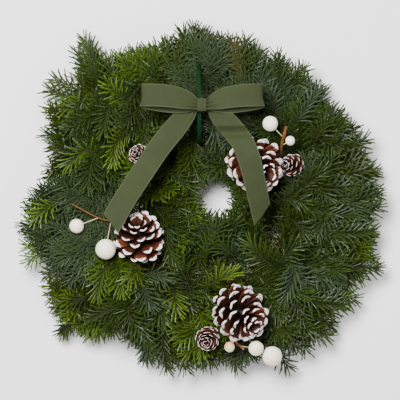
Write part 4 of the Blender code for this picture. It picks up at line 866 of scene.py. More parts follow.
def shoot_tree():
    """Stems along the shoot lines, and needles round them that keep clear of everything but each other."""
    chance = "FunctionNodeRandomValue"
    tree, given, result = new_tree("fir_shoots", {
        "Shoot lines": "Geometry", "Needle": "Object", "Kept clear": "Object", "Needle spacing": "Float",
        "Needle length": "Float", "Upsweep": "Float", "Fullness": "Float", "Lean": "Float", "Tuft": "Float",
        "Row angle": "Float", "Seed": "Int", "Hole centre": "Vector", "Hole radius": "Float",
        "Box middle": "Vector", "Box half": "Vector", "Stem sides": "Int", "Bark": "Material",
        "Green": "Material", "Blue": "Material", "Fresh": "Material", "Browned": "Material"})
    curve, stem = rods_along(tree, given["Shoot lines"], given["Stem sides"])
    stem = add_node(tree, "GeometryNodeSetShadeSmooth", {"Geometry": stem})
    stem = add_node(tree, "GeometryNodeSetMaterial", {"Geometry": stem, "Material": given["Bark"]})

    seats = add_node(tree, "GeometryNodeResampleCurve", {"Curve": curve, "Length": given["Needle spacing"]},
                     mode="LENGTH")
    ahead = add_node(tree, "GeometryNodeInputTangent")
    root = add_node(tree, "GeometryNodeInputPosition")
    index = add_node(tree, "GeometryNodeInputIndex")
    share = add_node(tree, "GeometryNodeSplineParameter")
    size, roll, fir = [
        add_node(tree, "GeometryNodeInputNamedAttribute", {"Name": label}, data_type="FLOAT")
        for label in ("size", "roll", "fir")]
    # The comb's own upright and sideways directions, rolled a little round the shoot
    climb = add_node(tree, "ShaderNodeSeparateXYZ", {0: ahead}, out=2)
    along = vector_maths(tree, "SCALE", ahead, climb)
    level = vector_maths(tree, "SUBTRACT", (0.0, 0.0, 1.0), along)
    level = vector_maths(tree, "NORMALIZE", level)
    beside = vector_maths(tree, "CROSS_PRODUCT", ahead, level)
    cosine = maths(tree, "COSINE", roll)
    sine = maths(tree, "SINE", roll)
    part_a = vector_maths(tree, "SCALE", level, cosine)
    part_b = vector_maths(tree, "SCALE", beside, sine)
    crest = vector_maths(tree, "ADD", part_a, part_b)
    side = vector_maths(tree, "CROSS_PRODUCT", ahead, crest)
    # Needles stand in three rows a side. The upper rows point further forward and hide the stem
    seed_two, seed_three = [maths(tree, "ADD", given["Seed"], further) for further in (17.0, 31.0)]
    jitter = add_node(tree, chance, {2: -NEEDLE_TURN, 3: NEEDLE_TURN, "Seed": given["Seed"]}, out=1)
    odd = maths(tree, "MODULO", index, 2.0)
    flip = maths(tree, "MULTIPLY_ADD", odd, -2.0, 1.0)
    row = maths(tree, "MODULO", index, 6.0)
    row = maths(tree, "MULTIPLY", row, 0.5)
    row = maths(tree, "FLOOR", row)
    angle = maths(tree, "MULTIPLY_ADD", row, given["Row angle"], jitter)
    cosine = maths(tree, "COSINE", angle)
    cosine = maths(tree, "MULTIPLY", cosine, flip)
    sine = maths(tree, "SINE", angle)
    rise = maths(tree, "MULTIPLY_ADD", sine, given["Fullness"], given["Upsweep"])
    late = maths(tree, "POWER", share, 6.0)
    lean = maths(tree, "MULTIPLY_ADD", late, given["Tuft"], given["Lean"])
    lean = maths(tree, "MULTIPLY_ADD", share, TIP_LEAN, lean)
    lean = maths(tree, "MULTIPLY_ADD", row, ROW_LEAN, lean)
    nudge = add_node(tree, chance, {2: -NEEDLE_NUDGE, 3: NEEDLE_NUDGE, "Seed": seed_two}, out=1)
    lean = maths(tree, "ADD", lean, nudge)
    outwards, upwards, forwards = [vector_maths(tree, "SCALE", direction, amount) for direction, amount in (
        (side, cosine), (crest, rise), (ahead, lean))]
    way = vector_maths(tree, "ADD", outwards, upwards)
    way = vector_maths(tree, "ADD", way, forwards)
    way = vector_maths(tree, "NORMALIZE", way)
    growth = add_node(tree, chance, {2: NEEDLE_GROWTH[0], 3: NEEDLE_GROWTH[1], "Seed": seed_three}, out=1)
    growth = maths(tree, "MULTIPLY_ADD", row, ROW_SHORTER, growth)
    growth = maths(tree, "MULTIPLY", growth, size)
    length = maths(tree, "MULTIPLY", growth, given["Needle length"])
    span = vector_maths(tree, "SCALE", way, length)
    tip = vector_maths(tree, "ADD", root, span)
    # A needle is left out where it would run into a cone, a berry, the ribbon, the ring, the floor or the
    # hole, or out of the part's box, and on the bare end of a shoot
    others = add_node(tree, "GeometryNodeObjectInfo", {0: given["Kept clear"]}, out="Geometry")
    hit = add_node(tree, "GeometryNodeRaycast", {"Target Geometry": others, "Source Position": root,
                                                 "Ray Direction": way, "Ray Length": length}, out="Is Hit")
    close = add_node(tree, "GeometryNodeProximity", {0: others, "Sample Position": tip}, out="Distance")
    high = add_node(tree, "ShaderNodeSeparateXYZ", {0: tip}, out=2)
    from_hole = vector_maths(tree, "SUBTRACT", tip, given["Hole centre"])
    from_hole = vector_maths(tree, "MULTIPLY", from_hole, (1.0, 1.0, 0.0))
    from_hole = vector_maths(tree, "LENGTH", from_hole)
    off = vector_maths(tree, "SUBTRACT", tip, given["Box middle"])
    off = vector_maths(tree, "ABSOLUTE", off)
    off = vector_maths(tree, "SUBTRACT", given["Box half"], off)
    off = add_node(tree, "ShaderNodeSeparateXYZ", {0: off}).node.outputs
    least = maths(tree, "MINIMUM", off[0], off[1])
    least = maths(tree, "MINIMUM", least, off[2])
    kept = maths(tree, "SUBTRACT", 1.0, hit)
    for measure, limit in ((close, NEEDLE_ROOM), (high, NEEDLE_ROOM), (from_hole, given["Hole radius"]),
                           (least, 0.0), (size, LEAST_SIZE)):
        clear = maths(tree, "GREATER_THAN", measure, limit)
        kept = maths(tree, "MULTIPLY", kept, clear)

    tilt = add_node(tree, chance, {0: tuple(-most for most in NEEDLE_TILT), 1: NEEDLE_TILT, "Seed": seed_two},
                    data_type="FLOAT_VECTOR")
    face = vector_maths(tree, "ADD", crest, tilt)
    turned = add_node(tree, "FunctionNodeAxesToRotation", {"Primary Axis": way, "Secondary Axis": face},
                      primary_axis="Z", secondary_axis="Y")
    needle = add_node(tree, "GeometryNodeObjectInfo", {0: given["Needle"]}, out="Geometry")
    width = maths(tree, "MULTIPLY_ADD", growth, 0.5, 0.5)
    scale = add_node(tree, "ShaderNodeCombineXYZ", {0: width, 1: growth, 2: growth})
    needles = add_node(tree, "GeometryNodeInstanceOnPoints", {
        "Points": seats, "Selection": kept, "Instance": needle, "Rotation": turned, "Scale": scale})
    shade = add_node(tree, chance, {2: 0.0, 3: 1.0, "Seed": given["Seed"]}, out=1)
    needles = add_node(tree, "GeometryNodeStoreNamedAttribute", {
        "Geometry": needles, "Name": "shade", "Value": shade}, data_type="FLOAT", domain="INSTANCE")
    needles = add_node(tree, "GeometryNodeRealizeInstances", {"Geometry": needles})
    # The fir attribute numbers the four finishes, as a spray may have a shoot of another fir tied in
    for place, label in enumerate(("Green", "Blue", "Fresh", "Browned")):
        this = maths(tree, "COMPARE", fir, float(place), 0.5)
        needles = add_node(tree, "GeometryNodeSetMaterial", {
            "Geometry": needles, "Selection": this, "Material": given[label]})
    bare = add_node(tree, "GeometryNodeJoinGeometry", {0: [stem, needles]})
    for spent in ("girth", "size", "roll"):
        bare = add_node(tree, "GeometryNodeRemoveAttribute", {"Geometry": bare, "Name": spent})
    tree.links.new(bare, result[0])
    return tree


def needle_finish(name, deep, light, fresh, band, roughness):
    """Waxed needles: tone by needle and by patch, fresher where the shoot is young, paler beneath and towards
    the upper edges.
    """
    made, tree, shader, where = new_finish(name, roughness, 0.2)
    shade, tone, along, under = [add_node(tree, "ShaderNodeAttribute", attribute_name=label, out="Fac")
                                 for label in ("shade", "tone", "along", "under")]
    # Patches the size of a shoot, 30 to 40 mm across
    patch = noise(tree, where, 28.0, 2.0)
    mixed = maths(tree, "MULTIPLY_ADD", shade, patch, 0.12)
    body = blend(tree, mixed, deep, light)
    young = maths(tree, "MULTIPLY", tone, along)
    body = blend(tree, young, body, fresh)
    # The pale underside band also runs up the two upper facets towards their edges: painted highlight along
    # the needle's margins.
    pale_band_and_painted_highlight = maths(tree, "MULTIPLY", under, 0.4)
    body = blend(tree, pale_band_and_painted_highlight, body, band)
    tree.links.new(body, shader["Base Color"])
    return made


young_bark, tree, shader, where = new_finish("young_fir_bark", 0.8, 0.2)
# Leaf cushions on young bark stand 1 to 2 mm apart. It is a dull green brown, and tan on a browned shoot
grain = noise(tree, where, 600.0, 3.0)
brown = blend(tree, grain, "15160a", "2f2c16")
tan = blend(tree, grain, "241a0c", "4a361c")
fir = add_node(tree, "ShaderNodeAttribute", attribute_name="fir", out="Fac")
aged = add_node(tree, "ShaderNodeMapRange", {"Value": fir, "From Min": 2.3, "From Max": 2.7})
brown = blend(tree, aged, brown, tan)
tree.links.new(brown, shader["Base Color"])
raise_surface(tree, shader, grain, 0.5, 0.0005)

# Each fir is its slot, how its comb of needles stands, and its needle's length, width and curve
FIRS = {
    "green": ("fir_green", {"Upsweep": 0.08, "Tuft": 1.5, "Row angle": 0.42}, (19.5, 1.9, 0.4)),
    "blue": ("noble_fir_blue", {"Upsweep": 0.12, "Tuft": 1.3, "Row angle": 0.46}, (18.5, 1.75, 0.9)),
    "fresh": ("fresh_fir_green", {"Upsweep": 0.1, "Tuft": 1.4, "Row angle": 0.42}, (18.5, 1.95, 0.4)),
}
NEEDLE_FINISHES = {
    "Green": needle_finish("nordmann_needles", "060f01", "203008", "374c0a", "273612", 0.42),
    "Blue": needle_finish("noble_fir_needles", "091108", "314129", "34441a", "404f33", 0.5),
    "Fresh": needle_finish("young_nordmann_needles", "0a1501", "273909", "577213", "35461a", 0.4),
    "Browned": needle_finish("browned_needles", "1a1a06", "3e3a12", "54481a", "4a4424", 0.5),
}
FIR_NUMBERS = {"green": 0.0, "blue": 1.0, "fresh": 2.0, "browned": 3.0}
NEEDLE_SPACING, STEM_SIDES, BOX_MARGIN, FULLNESS, LEAN = 1.05, 6, 0.0006, 0.9, 0.4
# How far from its start a shoot is bare, how far its comb is rolled either way, and its girths in millimetres
BARE_MAIN, BARE_SIDE, ROLL = 36.0, 3.0, 0.35
GIRTHS = {"shoot": (1.6, 0.7), "twig": (1.0, 0.7), "browned": (2.4, 1.8)}


def joined_copy(name, nodes):
    """One hidden mesh of several of the part's nodes, for the needles to keep clear of."""
    shape = bmesh.new()
    for node in nodes:
        shape.from_mesh(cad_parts[node].data)
    mesh = bpy.data.meshes.new(name)
    shape.to_mesh(mesh)
    shape.free()
    return set_out(name, mesh)


draw = np.random.default_rng(11)
centres, radii = room_balls()
sprays = spread_apart(lay_out_sprays(draw), centres, radii)
sprays = with_twigs(with_plumes(sprays, centres, radii), centres, radii, draw)
sprays = with_tucked_ends(sprays, centres, radii, draw)
solid_things = joined_copy("kept_clear", [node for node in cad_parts
                                          if "spray" not in node and node != "binding_wire"])
needles = {kind: needle_object(kind + "_needle", *sizes) for kind, (slot, comb, sizes) in FIRS.items()}
shoots = shoot_tree()
box_low, box_high = np.array(cad_box[0]), np.array(cad_box[1])
for number, (name, lines) in enumerate(sprays):
    slot, comb, sizes = FIRS[kind_of_fir(name)]
    fine, girths, size, roll, tone, fir = [], [], [], [], [], []
    spray_tone = draw.uniform(0.0, 0.3)
    for place, (line, is_twig, young, kind) in enumerate(lines):
        line = resampled(line, LINE_STEP)
        share = np.linspace(0, 1, len(line))
        along = LINE_STEP * np.arange(len(line))
        bare = BARE_MAIN if place == 0 else BARE_SIDE
        fine.append(line)
        root, end = GIRTHS["browned" if kind == "browned" else "twig" if is_twig else "shoot"]
        girths.append(0.001 * (root * (1 - share) + end * share))
        size.append(np.where(along < bare, 0.0, 0.6 + 0.4 * np.sin(math.pi * (0.12 + 0.7 * share))))
        roll.append(np.full(len(line), draw.uniform(-ROLL, ROLL)))
        youth = young if young is not None else spray_tone + draw.uniform(-0.1, 0.2)
        tone.append(np.clip(youth + 0.4 * share ** 3, 0, 1))
        fir.append(np.full(len(line), FIR_NUMBERS[kind]))
    source = lines_object(name, fine, girth=girths, size=size, roll=roll, tone=tone, fir=fir)
    made = grown_from(source, shoots, name.replace("spray", "shoots"), {
        "Needle": needles[kind_of_fir(name)], "Kept clear": solid_things, "Seed": 100 + number, **comb,
        "Fullness": FULLNESS, "Lean": LEAN, "Needle spacing": 0.001 * NEEDLE_SPACING,
        "Needle length": 0.001 * sizes[0],
        "Hole centre": tuple(in_metres(HOLE_CENTRE)), "Hole radius": 0.001 * NEEDLE_FREE_RADIUS,
        "Box middle": tuple((box_low + box_high) / 2),
        "Box half": tuple((box_high - box_low) / 2 - BOX_MARGIN),
        "Stem sides": STEM_SIDES, "Bark": young_bark, **NEEDLE_FINISHES})
    place_piece(made, slot, name)
for spent in [solid_things, *needles.values()]:
    bpy.data.objects.remove(spent, do_unlink=True)

# Picks. Brown hazel twigs and paper-covered wires carry the cones and berries. Each pick's foot lies on the
# ring's crown under the foliage, where it is wired in.
SEAT_GAP, FOOT_RADIUS, TWIG_RADIUS, CRAFT_WIRE_RADIUS, PICK_STEP = 0.35, 1.2, 1.9, 0.5, 1.5
FOOT_INWARD, DIMPLE_DEPTH, BUD_SPACING, BUD_LENGTH = 4.5, 0.4, 13.0, 1.6


def stalk(name):
    """The last stretch of a wire, which comes up along the cone's axis and stops just short of its base."""
    centre, axis, length, girth = CONES[name][:4]
    axis = unit(np.array(axis, float))
    seat = np.array(centre) - axis * (0.44 * length + SEAT_GAP)
    return [seat - 0.42 * girth * axis, seat]


def line_through(*points):
    return smooth_line([np.array(point, float) for point in points], PICK_STEP)


def berry_wire(name, start, rise=3.0):
    """A bowed wire that stops just inside a berry's dimple."""
    centre, radius = BERRIES[name]
    start = np.array(start, float)
    end = np.array(centre) + (radius - DIMPLE_DEPTH) * unit(start - np.array(centre))
    return line_through(start, (start + end) / 2 + rise * UP, end)


def foot(angle, *onward):
    """A foot along the ring's crown that then rises through the places given."""
    inside, height = RING_RADIUS - FOOT_INWARD, RING_HEIGHT + FOOT_RADIUS + SEAT_GAP
    start = [on_ring(angle + ahead, inside, height + rise) for ahead, rise in ((-5, 0), (-1, 0), (2, 1))]
    return line_through(*start, *onward)


def knotty(line, root, tip):
    """Girths along a twig, swollen a little at each bud."""
    along = PICK_STEP * np.arange(len(line))
    buds = np.exp(-((along % BUD_SPACING - BUD_SPACING / 2) / BUD_LENGTH) ** 2)
    return 0.001 * np.linspace(root, tip, len(line)) * (0.94 + 0.22 * buds + 0.05 * np.sin(1.7 * along))


# Where each pick's wires branch off its foot
right_hub, left_hub, bottom_hub = np.array([(83.0, 42.0, 29.0), (-77.0, -32.0, 28.0), (42.0, -149.0, 32.0)])
# Each twig is its line and its radius at both ends
PICK_TWIGS = {
    "pick_right": [
        (foot(22.0, right_hub), FOOT_RADIUS, 1.6),
        (line_through(right_hub, (87.5, 47, 43), (90, 62, 56), (94, 77.6, 64)), 1.5, TWIG_RADIUS)],
    "pick_left": [
        (foot(198.0, left_hub), FOOT_RADIUS, 1.6),
        (line_through(left_hub, (-87, -25, 40), (-108, -24, 52), (-141.4, -7.2, 58)), 1.2, 0.7)],
    "pick_bottom": [
        (foot(291.0, (48, -102, 24.5), (47, -119, 27), (44, -137, 29), bottom_hub), FOOT_RADIUS, 1.6),
        (line_through((27, -149, 46), (37, -157, 46), (48, -167, 49)), TWIG_RADIUS, 1.6),
        (line_through(bottom_hub, (40, -154, 39), (38.5, -158, 46)), 1.5, 1.5)],
}
PICK_WIRES = {
    "pick_right": [
        line_through(right_hub, *stalk("pine_cone_right")),
        line_through(right_hub, *stalk("larch_cone_right")),
        berry_wire("berry_right_large", (90.6, 66, 57.4)),
        berry_wire("berry_right_small", (89.0, 57, 51.7), 1.0)],
    "pick_left": [
        line_through(left_hub, *stalk("pine_cone_left")),
        berry_wire("berry_left_small", (-112, -22.3, 53.2)),
        berry_wire("berry_left_large", (-98, -24.5, 47), 1.0)],
    "pick_bottom": [
        line_through((44.6, -134, 28.7), *stalk("pine_cone_bottom")),
        line_through(bottom_hub, (22, -147, 34), *stalk("larch_cone_bottom")),
        berry_wire("berry_bottom_large", bottom_hub, -4.0),
        berry_wire("berry_bottom_middle", (44, -163.2, 47.8), 0.5),
        berry_wire("berry_bottom_small", (37, -157, 46), 0.0)],
    "larch_wire_left": [foot(140.0, on_ring(145.0, 94.0, 30.0), *stalk("larch_cone_left"))],
}

# Rough bark in plates a few millimetres across
hazel = grained_finish("hazel_twig_bark", 0.6, "321a04", "78480f", 350.0, 5.0, strength=0.6, depth=0.0005)[0]
# Matt wound paper, flecked where its edges overlap, a millimetre or so apart
paper = grained_finish("cream_paper_wire", 0.7, "8c7a58", "cfc2a0", 800.0, 2.0)[0]
for name, twigs in PICK_TWIGS.items():
    girths = [knotty(line, root, tip) for line, root, tip in twigs]
    source = lines_object(name, [line for line, root, tip in twigs], girth=girths)
    place_piece(grown_from(source, rods, name + "_twigs", {"Sides": 10, "Finish": hazel}), "twig_bark", name)
for name, wires in PICK_WIRES.items():
    girths = [np.full(len(line), 0.001 * CRAFT_WIRE_RADIUS) for line in wires]
    source = lines_object(name, wires, girth=girths)
    place_piece(grown_from(source, rods, name + "_wires", {"Sides": 8, "Finish": paper}), "twig_bark", name)

# Cones. Three open black pine cones and three larch cones, their scale tips brushed with white paint. Each is
# wired from its base, and its woody scales stand round the core by the golden angle.
GOLDEN_ANGLE, CORE_POINTS, CORE_SIDES = math.radians(137.508), 12, 12
# Each row is how far out it is, half width, half thickness, rise, how far the sides turn up, and the paint at
# the sides, above and below
PINE_SCALE = ((-0.10, 0.16, 0.30, 0.00, 0.0, 0.0, 0.0, 0.0), (0.35, 0.32, 0.28, -0.06, 0.1, 0.0, 0.0, 0.0),
              (0.62, 0.48, 0.32, -0.10, 0.4, 0.0, 0.0, 0.0), (0.78, 0.50, 0.42, -0.12, 0.7, 0.1, 0.25, 0.35),
              (0.90, 0.42, 0.46, -0.08, 0.9, 0.6, 0.85, 0.9), (0.98, 0.27, 0.36, 0.00, 1.0, 1.0, 1.0, 0.9),
              (1.02, 0.12, 0.18, 0.04, 1.0, 1.0, 1.0, 1.0))
LARCH_SCALE = ((-0.10, 0.25, 0.50, 0.00, 0.0, 0.0, 0.0, 0.0), (0.40, 0.42, 0.50, -0.10, 0.3, 0.0, 0.0, 0.0),
               (0.76, 0.50, 0.50, -0.10, 0.8, 0.0, 0.0, 0.0), (0.92, 0.42, 0.46, 0.20, 1.0, 0.35, 0.0, 0.15),
               (1.00, 0.22, 0.30, 0.55, 1.0, 1.0, 1.0, 1.0))


def scale_object(name, rings, hollow):
    """One cone scale, a metre long, wide and thick, to be sized where it is set."""
    sides = 8
    places, faces, paint, along = [], [], [], []
    for out, wide, thick, rise, cup, at_sides, above, below in rings:
        for k in range(sides):
            turn = 2 * math.pi * k / sides
            x, y = math.cos(turn), math.sin(turn)
            dip = hollow if k == 2 else 1.0
            places.append((wide * x, thick * y * dip + rise + cup * (2 * wide * x) ** 2, out))
            paint.append(at_sides * x * x + (above if y > 0 else below) * (1 - x * x))
            along.append(max(0.0, out))
    for r in range(len(rings) - 1):
        for k in range(sides):
            a, b = r * sides + k, r * sides + (k + 1) % sides
            faces.append((a, b, b + sides, a + sides))
    places.append((0.0, rings[-1][3], 1.04))
    paint.append(1.0)
    along.append(1.0)
    last = (len(rings) - 1) * sides
    faces += [(last + k, last + (k + 1) % sides, len(places) - 1) for k in range(sides)]
    faces.append(tuple(reversed(range(sides))))
    mesh = bpy.data.meshes.new(name)
    mesh.from_pydata(places, [], faces)
    mark_points(mesh, "paint", paint)
    mark_points(mesh, "along", along)
    return set_out(name, mesh)


def cone_tree():
    """A core along the line, and a scale at each loose point."""
    tree, given, result = new_tree("cone_of_scales", {
        "Seats": "Geometry", "Scale": "Object", "Core sides": "Int", "Finish": "Material"})
    size, way, above = [
        add_node(tree, "GeometryNodeInputNamedAttribute", {"Name": label}, data_type="FLOAT_VECTOR")
        for label in ("size", "way", "above")]
    line, core = rods_along(tree, given["Seats"], given["Core sides"])
    big = vector_maths(tree, "LENGTH", size)
    seated = maths(tree, "GREATER_THAN", big, 0.0001)
    turned = add_node(tree, "FunctionNodeAxesToRotation", {"Primary Axis": way, "Secondary Axis": above},
                      primary_axis="Z", secondary_axis="Y")
    scale = add_node(tree, "GeometryNodeObjectInfo", {0: given["Scale"]}, out="Geometry")
    scales = add_node(tree, "GeometryNodeInstanceOnPoints", {
        "Points": given["Seats"], "Selection": seated, "Instance": scale, "Rotation": turned,
        "Scale": size})
    scales = add_node(tree, "GeometryNodeRealizeInstances", {"Geometry": scales})
    both = add_node(tree, "GeometryNodeJoinGeometry", {0: [core, scales]})
    soft = add_node(tree, "GeometryNodeSetShadeSmooth", {"Geometry": both})
    done = add_node(tree, "GeometryNodeSetMaterial", {"Geometry": soft, "Material": given["Finish"]})
    tree.links.new(done, result[0])
    return tree


def painted_scale(name, dark, light, ragged_scale):
    """Dry woody brown, darkened towards the core as painted shade, with brushed white paint that ends in a
    ragged edge.
    """
    made, tree, shader, where = new_finish(name, 0.6, 0.3)
    paint, along, shade = [add_node(tree, "ShaderNodeAttribute", attribute_name=label, out="Fac")
                           for label in ("paint", "along", "shade")]
    ragged = noise(tree, where, ragged_scale, 4.0)
    streak = noise(tree, where, 160.0, 2.0)
    mixed = maths(tree, "MULTIPLY", streak, shade)
    # Towards a scale's root and on the core the wood goes near black: painted shade deep between the scales.
    mixed = maths(tree, "MULTIPLY", mixed, along)
    mixed = add_node(tree, "ShaderNodeMapRange", {"Value": mixed, "From Max": 0.55})
    wood = blend(tree, mixed, dark, light)
    edge = maths(tree, "MULTIPLY_ADD", ragged, 1.1, -0.34)
    edge = maths(tree, "ADD", paint, edge)
    # Some scales took more of the brush than others
    edge = maths(tree, "MULTIPLY_ADD", shade, -0.35, edge)
    cover = add_node(tree, "ShaderNodeMapRange", {"Value": edge, "From Min": 0.54, "From Max": 0.66})
    white = blend(tree, ragged, "cdbcbe", "f8f3f3")
    colour = blend(tree, cover, wood, white)
    tree.links.new(colour, shader["Base Color"])
    raise_surface(tree, shader, ragged, 0.5, 0.0006)
    return made


def core_radius(girth, share):
    return girth * (0.10 + 0.16 * np.sin(math.pi * np.minimum(1.0, 0.12 + 0.88 * share)))


def cone_seats(centre, axis, length, girth, scales, lowest, highest, width, thickness):
    """The core's line and every scale's root, direction, upper side and size."""
    axis = unit(np.array(axis, float))
    side = unit(np.cross(axis, (0.3, 0.9, 0.1)))
    front = np.cross(axis, side)
    base = np.array(centre) - 0.42 * length * axis
    shares = np.linspace(0, 1, CORE_POINTS)
    lines = [np.array([base + axis * length * (0.98 * share) for share in shares])]
    girths = [0.001 * core_radius(girth, shares) * (1 - 0.85 * shares ** 4)]
    ways, aboves, sizes = [[np.zeros((CORE_POINTS, 3))] for kind in range(3)]
    tones = [np.full(CORE_POINTS, 0.3)]
    for n in range(scales):
        share = (n + 0.5) / scales
        turn = n * GOLDEN_ANGLE
        out = math.cos(turn) * side + math.sin(turn) * front
        # A scale stands steeper towards the cone's tip, and reaches furthest out round its middle
        rise = math.radians(lowest + (highest - lowest) * share ** 1.15 + sway.uniform(-8, 8))
        swell = math.sin(math.pi * (0.2 + 0.7 * share))
        core = core_radius(girth, share)
        reach = max(0.22 * girth, (girth - core) * swell) * sway.uniform(0.92, 1.08)
        lines.append(np.array([base + axis * length * 0.96 * share + 0.8 * core * out]))
        girths.append(np.zeros(1))
        ways.append(np.array([math.cos(rise) * out + math.sin(rise) * axis]))
        above = math.cos(rise) * axis - math.sin(rise) * out
        aboves.append(np.array([above + sway.uniform(-0.22, 0.22) * np.cross(ways[-1][0], above)]))
        spread = (0.35 + 0.65 * swell) * sway.uniform(0.88, 1.12)
        thick = thickness * (0.5 + 0.5 * swell) * sway.uniform(0.75, 1.15)
        sizes.append(0.001 * np.array([[width * spread, thick, reach + 0.2 * core]]))
        tones.append(np.array([sway.uniform(0.4, 1.0)]))
    return lines, {"girth": girths, "way": ways, "above": aboves, "size": sizes, "shade": tones}


pine_wood = painted_scale("painted_pine_cone_scale", "190904", "6a3218", 420.0)
larch_wood = painted_scale("painted_larch_cone_scale", "180b06", "5c301a", 600.0)
pine_scale = scale_object("pine_scale", PINE_SCALE, 0.4)
larch_scale = scale_object("larch_scale", LARCH_SCALE, 0.6)
cones = cone_tree()
for name, (centre, axis, length, girth, scales) in CONES.items():
    # The lowest and highest scale's angle to the cone's side, and a scale's width and thickness
    if name.startswith("pine"):
        form = (-12.0, 62.0, 0.47 * girth, 0.13 * girth)
        kind, wood = pine_scale, pine_wood
    else:
        form = (4.0, 74.0, 0.70 * girth, 0.07 * girth)
        kind, wood = larch_scale, larch_wood
    lines, attributes = cone_seats(centre, axis, length, girth, scales, *form)
    source = lines_object(name, lines, **attributes)
    given = {"Scale": kind, "Core sides": CORE_SIDES, "Finish": wood}
    place_piece(grown_from(source, cones, name + "_scales", given), "cone_brown", name)
for spent in (pine_scale, larch_scale):
    bpy.data.objects.remove(spent, do_unlink=True)

# Berries. Pressed foam balls in cream white, each pushed onto a paper-covered wire. Their skin has a fine
# grain, they are a little out of round, and the smallest at the bottom is blushed pink over green.
# The side that is lighter on the cream balls and pink on the blushed one points to the top left, towards the
# key light
UNEVEN, DIMPLE, DIMPLE_WIDTH, LIT_AND_BLUSHED_SIDE = 0.012, 0.06, 0.02, (-0.35, 0.92, 0.17)


def foam_finish(name, low, high):
    """Matt cream foam, beaded, and shaded from a low colour to a high one towards its lit side: painted light
    on the cream balls, a real blush where the two colours differ in hue.
    """
    made, tree, shader, where = new_finish(name, 0.55)
    blush = add_node(tree, "ShaderNodeAttribute", attribute_name="blush", out="Fac")
    # The beads of the foam are about half a millimetre across
    beads = add_node(tree, "ShaderNodeTexVoronoi", {"Vector": where, "Scale": 1500.0})
    cloud = noise(tree, where, 180.0, 3.0)
    place = maths(tree, "MULTIPLY_ADD", cloud, 0.5, blush)
    place = add_node(tree, "ShaderNodeMapRange", {"Value": place, "From Min": 0.5, "From Max": 1.3})
    cream = blend(tree, place, low, high)
    tree.links.new(cream, shader["Base Color"])
    raise_surface(tree, shader, beads, 0.25, 0.0002)
    return made


def foam_ball(name, centre, radius, finish):
    """A ball a little out of round, with a dimple where its wire goes in."""
    shape = bmesh.new()
    bmesh.ops.create_icosphere(shape, subdivisions=5, radius=1.0)
    lean = sway.uniform(-1, 1, 3)
    blush = shape.verts.layers.float.new("blush")
    for vertex in shape.verts:
        way = np.array(vertex.co)
        uneven = 1.0 + UNEVEN * math.sin(3 * way[0] + lean[0]) * math.sin(4 * way[1] + lean[1]) - UNEVEN / 2
        dimple = DIMPLE * math.exp(-((1 + way[2]) / DIMPLE_WIDTH))
        vertex[blush] = 0.5 + 0.5 * float(np.dot(way, LIT_AND_BLUSHED_SIDE))
        vertex.co = in_metres(np.array(centre) + radius * (uneven - dimple) * way)
    mesh = bpy.data.meshes.new(name)
    for face in shape.faces:
        face.smooth = True
    shape.to_mesh(mesh)
    shape.free()
    mesh.materials.append(finish)
    return set_out(name, mesh)


# The cream balls are painted lighter on the side that faces the key light: painted light.
foam = foam_finish("cream_foam_ball", "f2e7cc", "fff8e4")
blushed_foam = foam_finish("blushed_foam_ball", "d3dfa0", "e8937a")
for name, (centre, radius) in BERRIES.items():
    tint = blushed_foam if name == "berry_bottom_small" else foam
    place_piece(foam_ball(name.replace("berry", "foam_berry"), centre, radius, tint), "white_foam", name)

# Tie. Flat green twine of four loosely twisted plies. It goes round the whole bundle at the top, and its
# ends are knotted behind the bow.
TIE_WIDTH, TIE_THICKNESS, TIE_PITCH, TIE_PLIES, PLY_RADIUS, TIE_STEP = 4.4, 1.6, 15.0, 4, 0.62, 1.6
# It leans a little to the left, and more behind the knot than over the top
TIE_LEFT, LEAN_FROM, LEAN_RUN = 1.4, 112.0, 30.0
# Deep green paper fibres, with hardly a shine. They are a fifth of a millimetre apart and drawn coarser
twine = grained_finish("emerald_paper_twine", 0.5, "03140a", "0a3a1e", 900.0, 3.0, strength=0.4, depth=0.0003,
                       specular=0.06)[0]
path = smooth_line([(0.0, y, z) for y, z in TIE_PATH], TIE_STEP, closed=True)[:-1]
heading = np.roll(path, -1, axis=0) - np.roll(path, 1, axis=0)
outward = np.stack([unit(np.cross(step, (1.0, 0.0, 0.0))) for step in heading])
path[:, 2] = np.maximum(path[:, 2], TIE_THICKNESS / 2 + 0.2)
turns = round(TIE_STEP * len(path) / TIE_PITCH)
plies = []
for k in range(TIE_PLIES):
    phase = 2 * math.pi * (turns * np.arange(len(path)) / len(path) + k / TIE_PLIES)
    ply = path + (TIE_THICKNESS / 2 - PLY_RADIUS) * np.sin(phase)[:, None] * outward
    lean = TIE_LEFT + np.clip((path[:, 1] - LEAN_FROM) / LEAN_RUN, 0, 1)
    ply[:, 0] += (TIE_WIDTH / 2 - PLY_RADIUS) * np.cos(phase) - lean
    plies.append(ply)
source = lines_object("tie", plies, closed=True, girth=[np.full(len(path), 0.001 * PLY_RADIUS)] * TIE_PLIES)
made = grown_from(source, rods, "twisted_tie", {"Sides": 7, "Finish": twine})
place_piece(made, "green_twine", "green_tie")

# Bow. Sage grosgrain ribbon 25 mm wide. Both loops are one band gathered in the middle, the two tails are cut
# on the slant, and a short piece folded to 10 mm is wrapped round the middle as the knot.
RIBBON_WIDTH, RIBBON_THICKNESS, RIBBON_STEP, RIBBON_SPANS, SLANT_RUN = 25.0, 0.6, 1.5, 20, 24.0
SHARP_TURN = 0.9
# Where up the wreath the right tail's crease starts, how long it falls and eases, and how deep it is
CREASE_TOP, CREASE_FALL, CREASE_EASE, CREASE_DEPTH = 78.5, 9.5, 7.5, 7.2


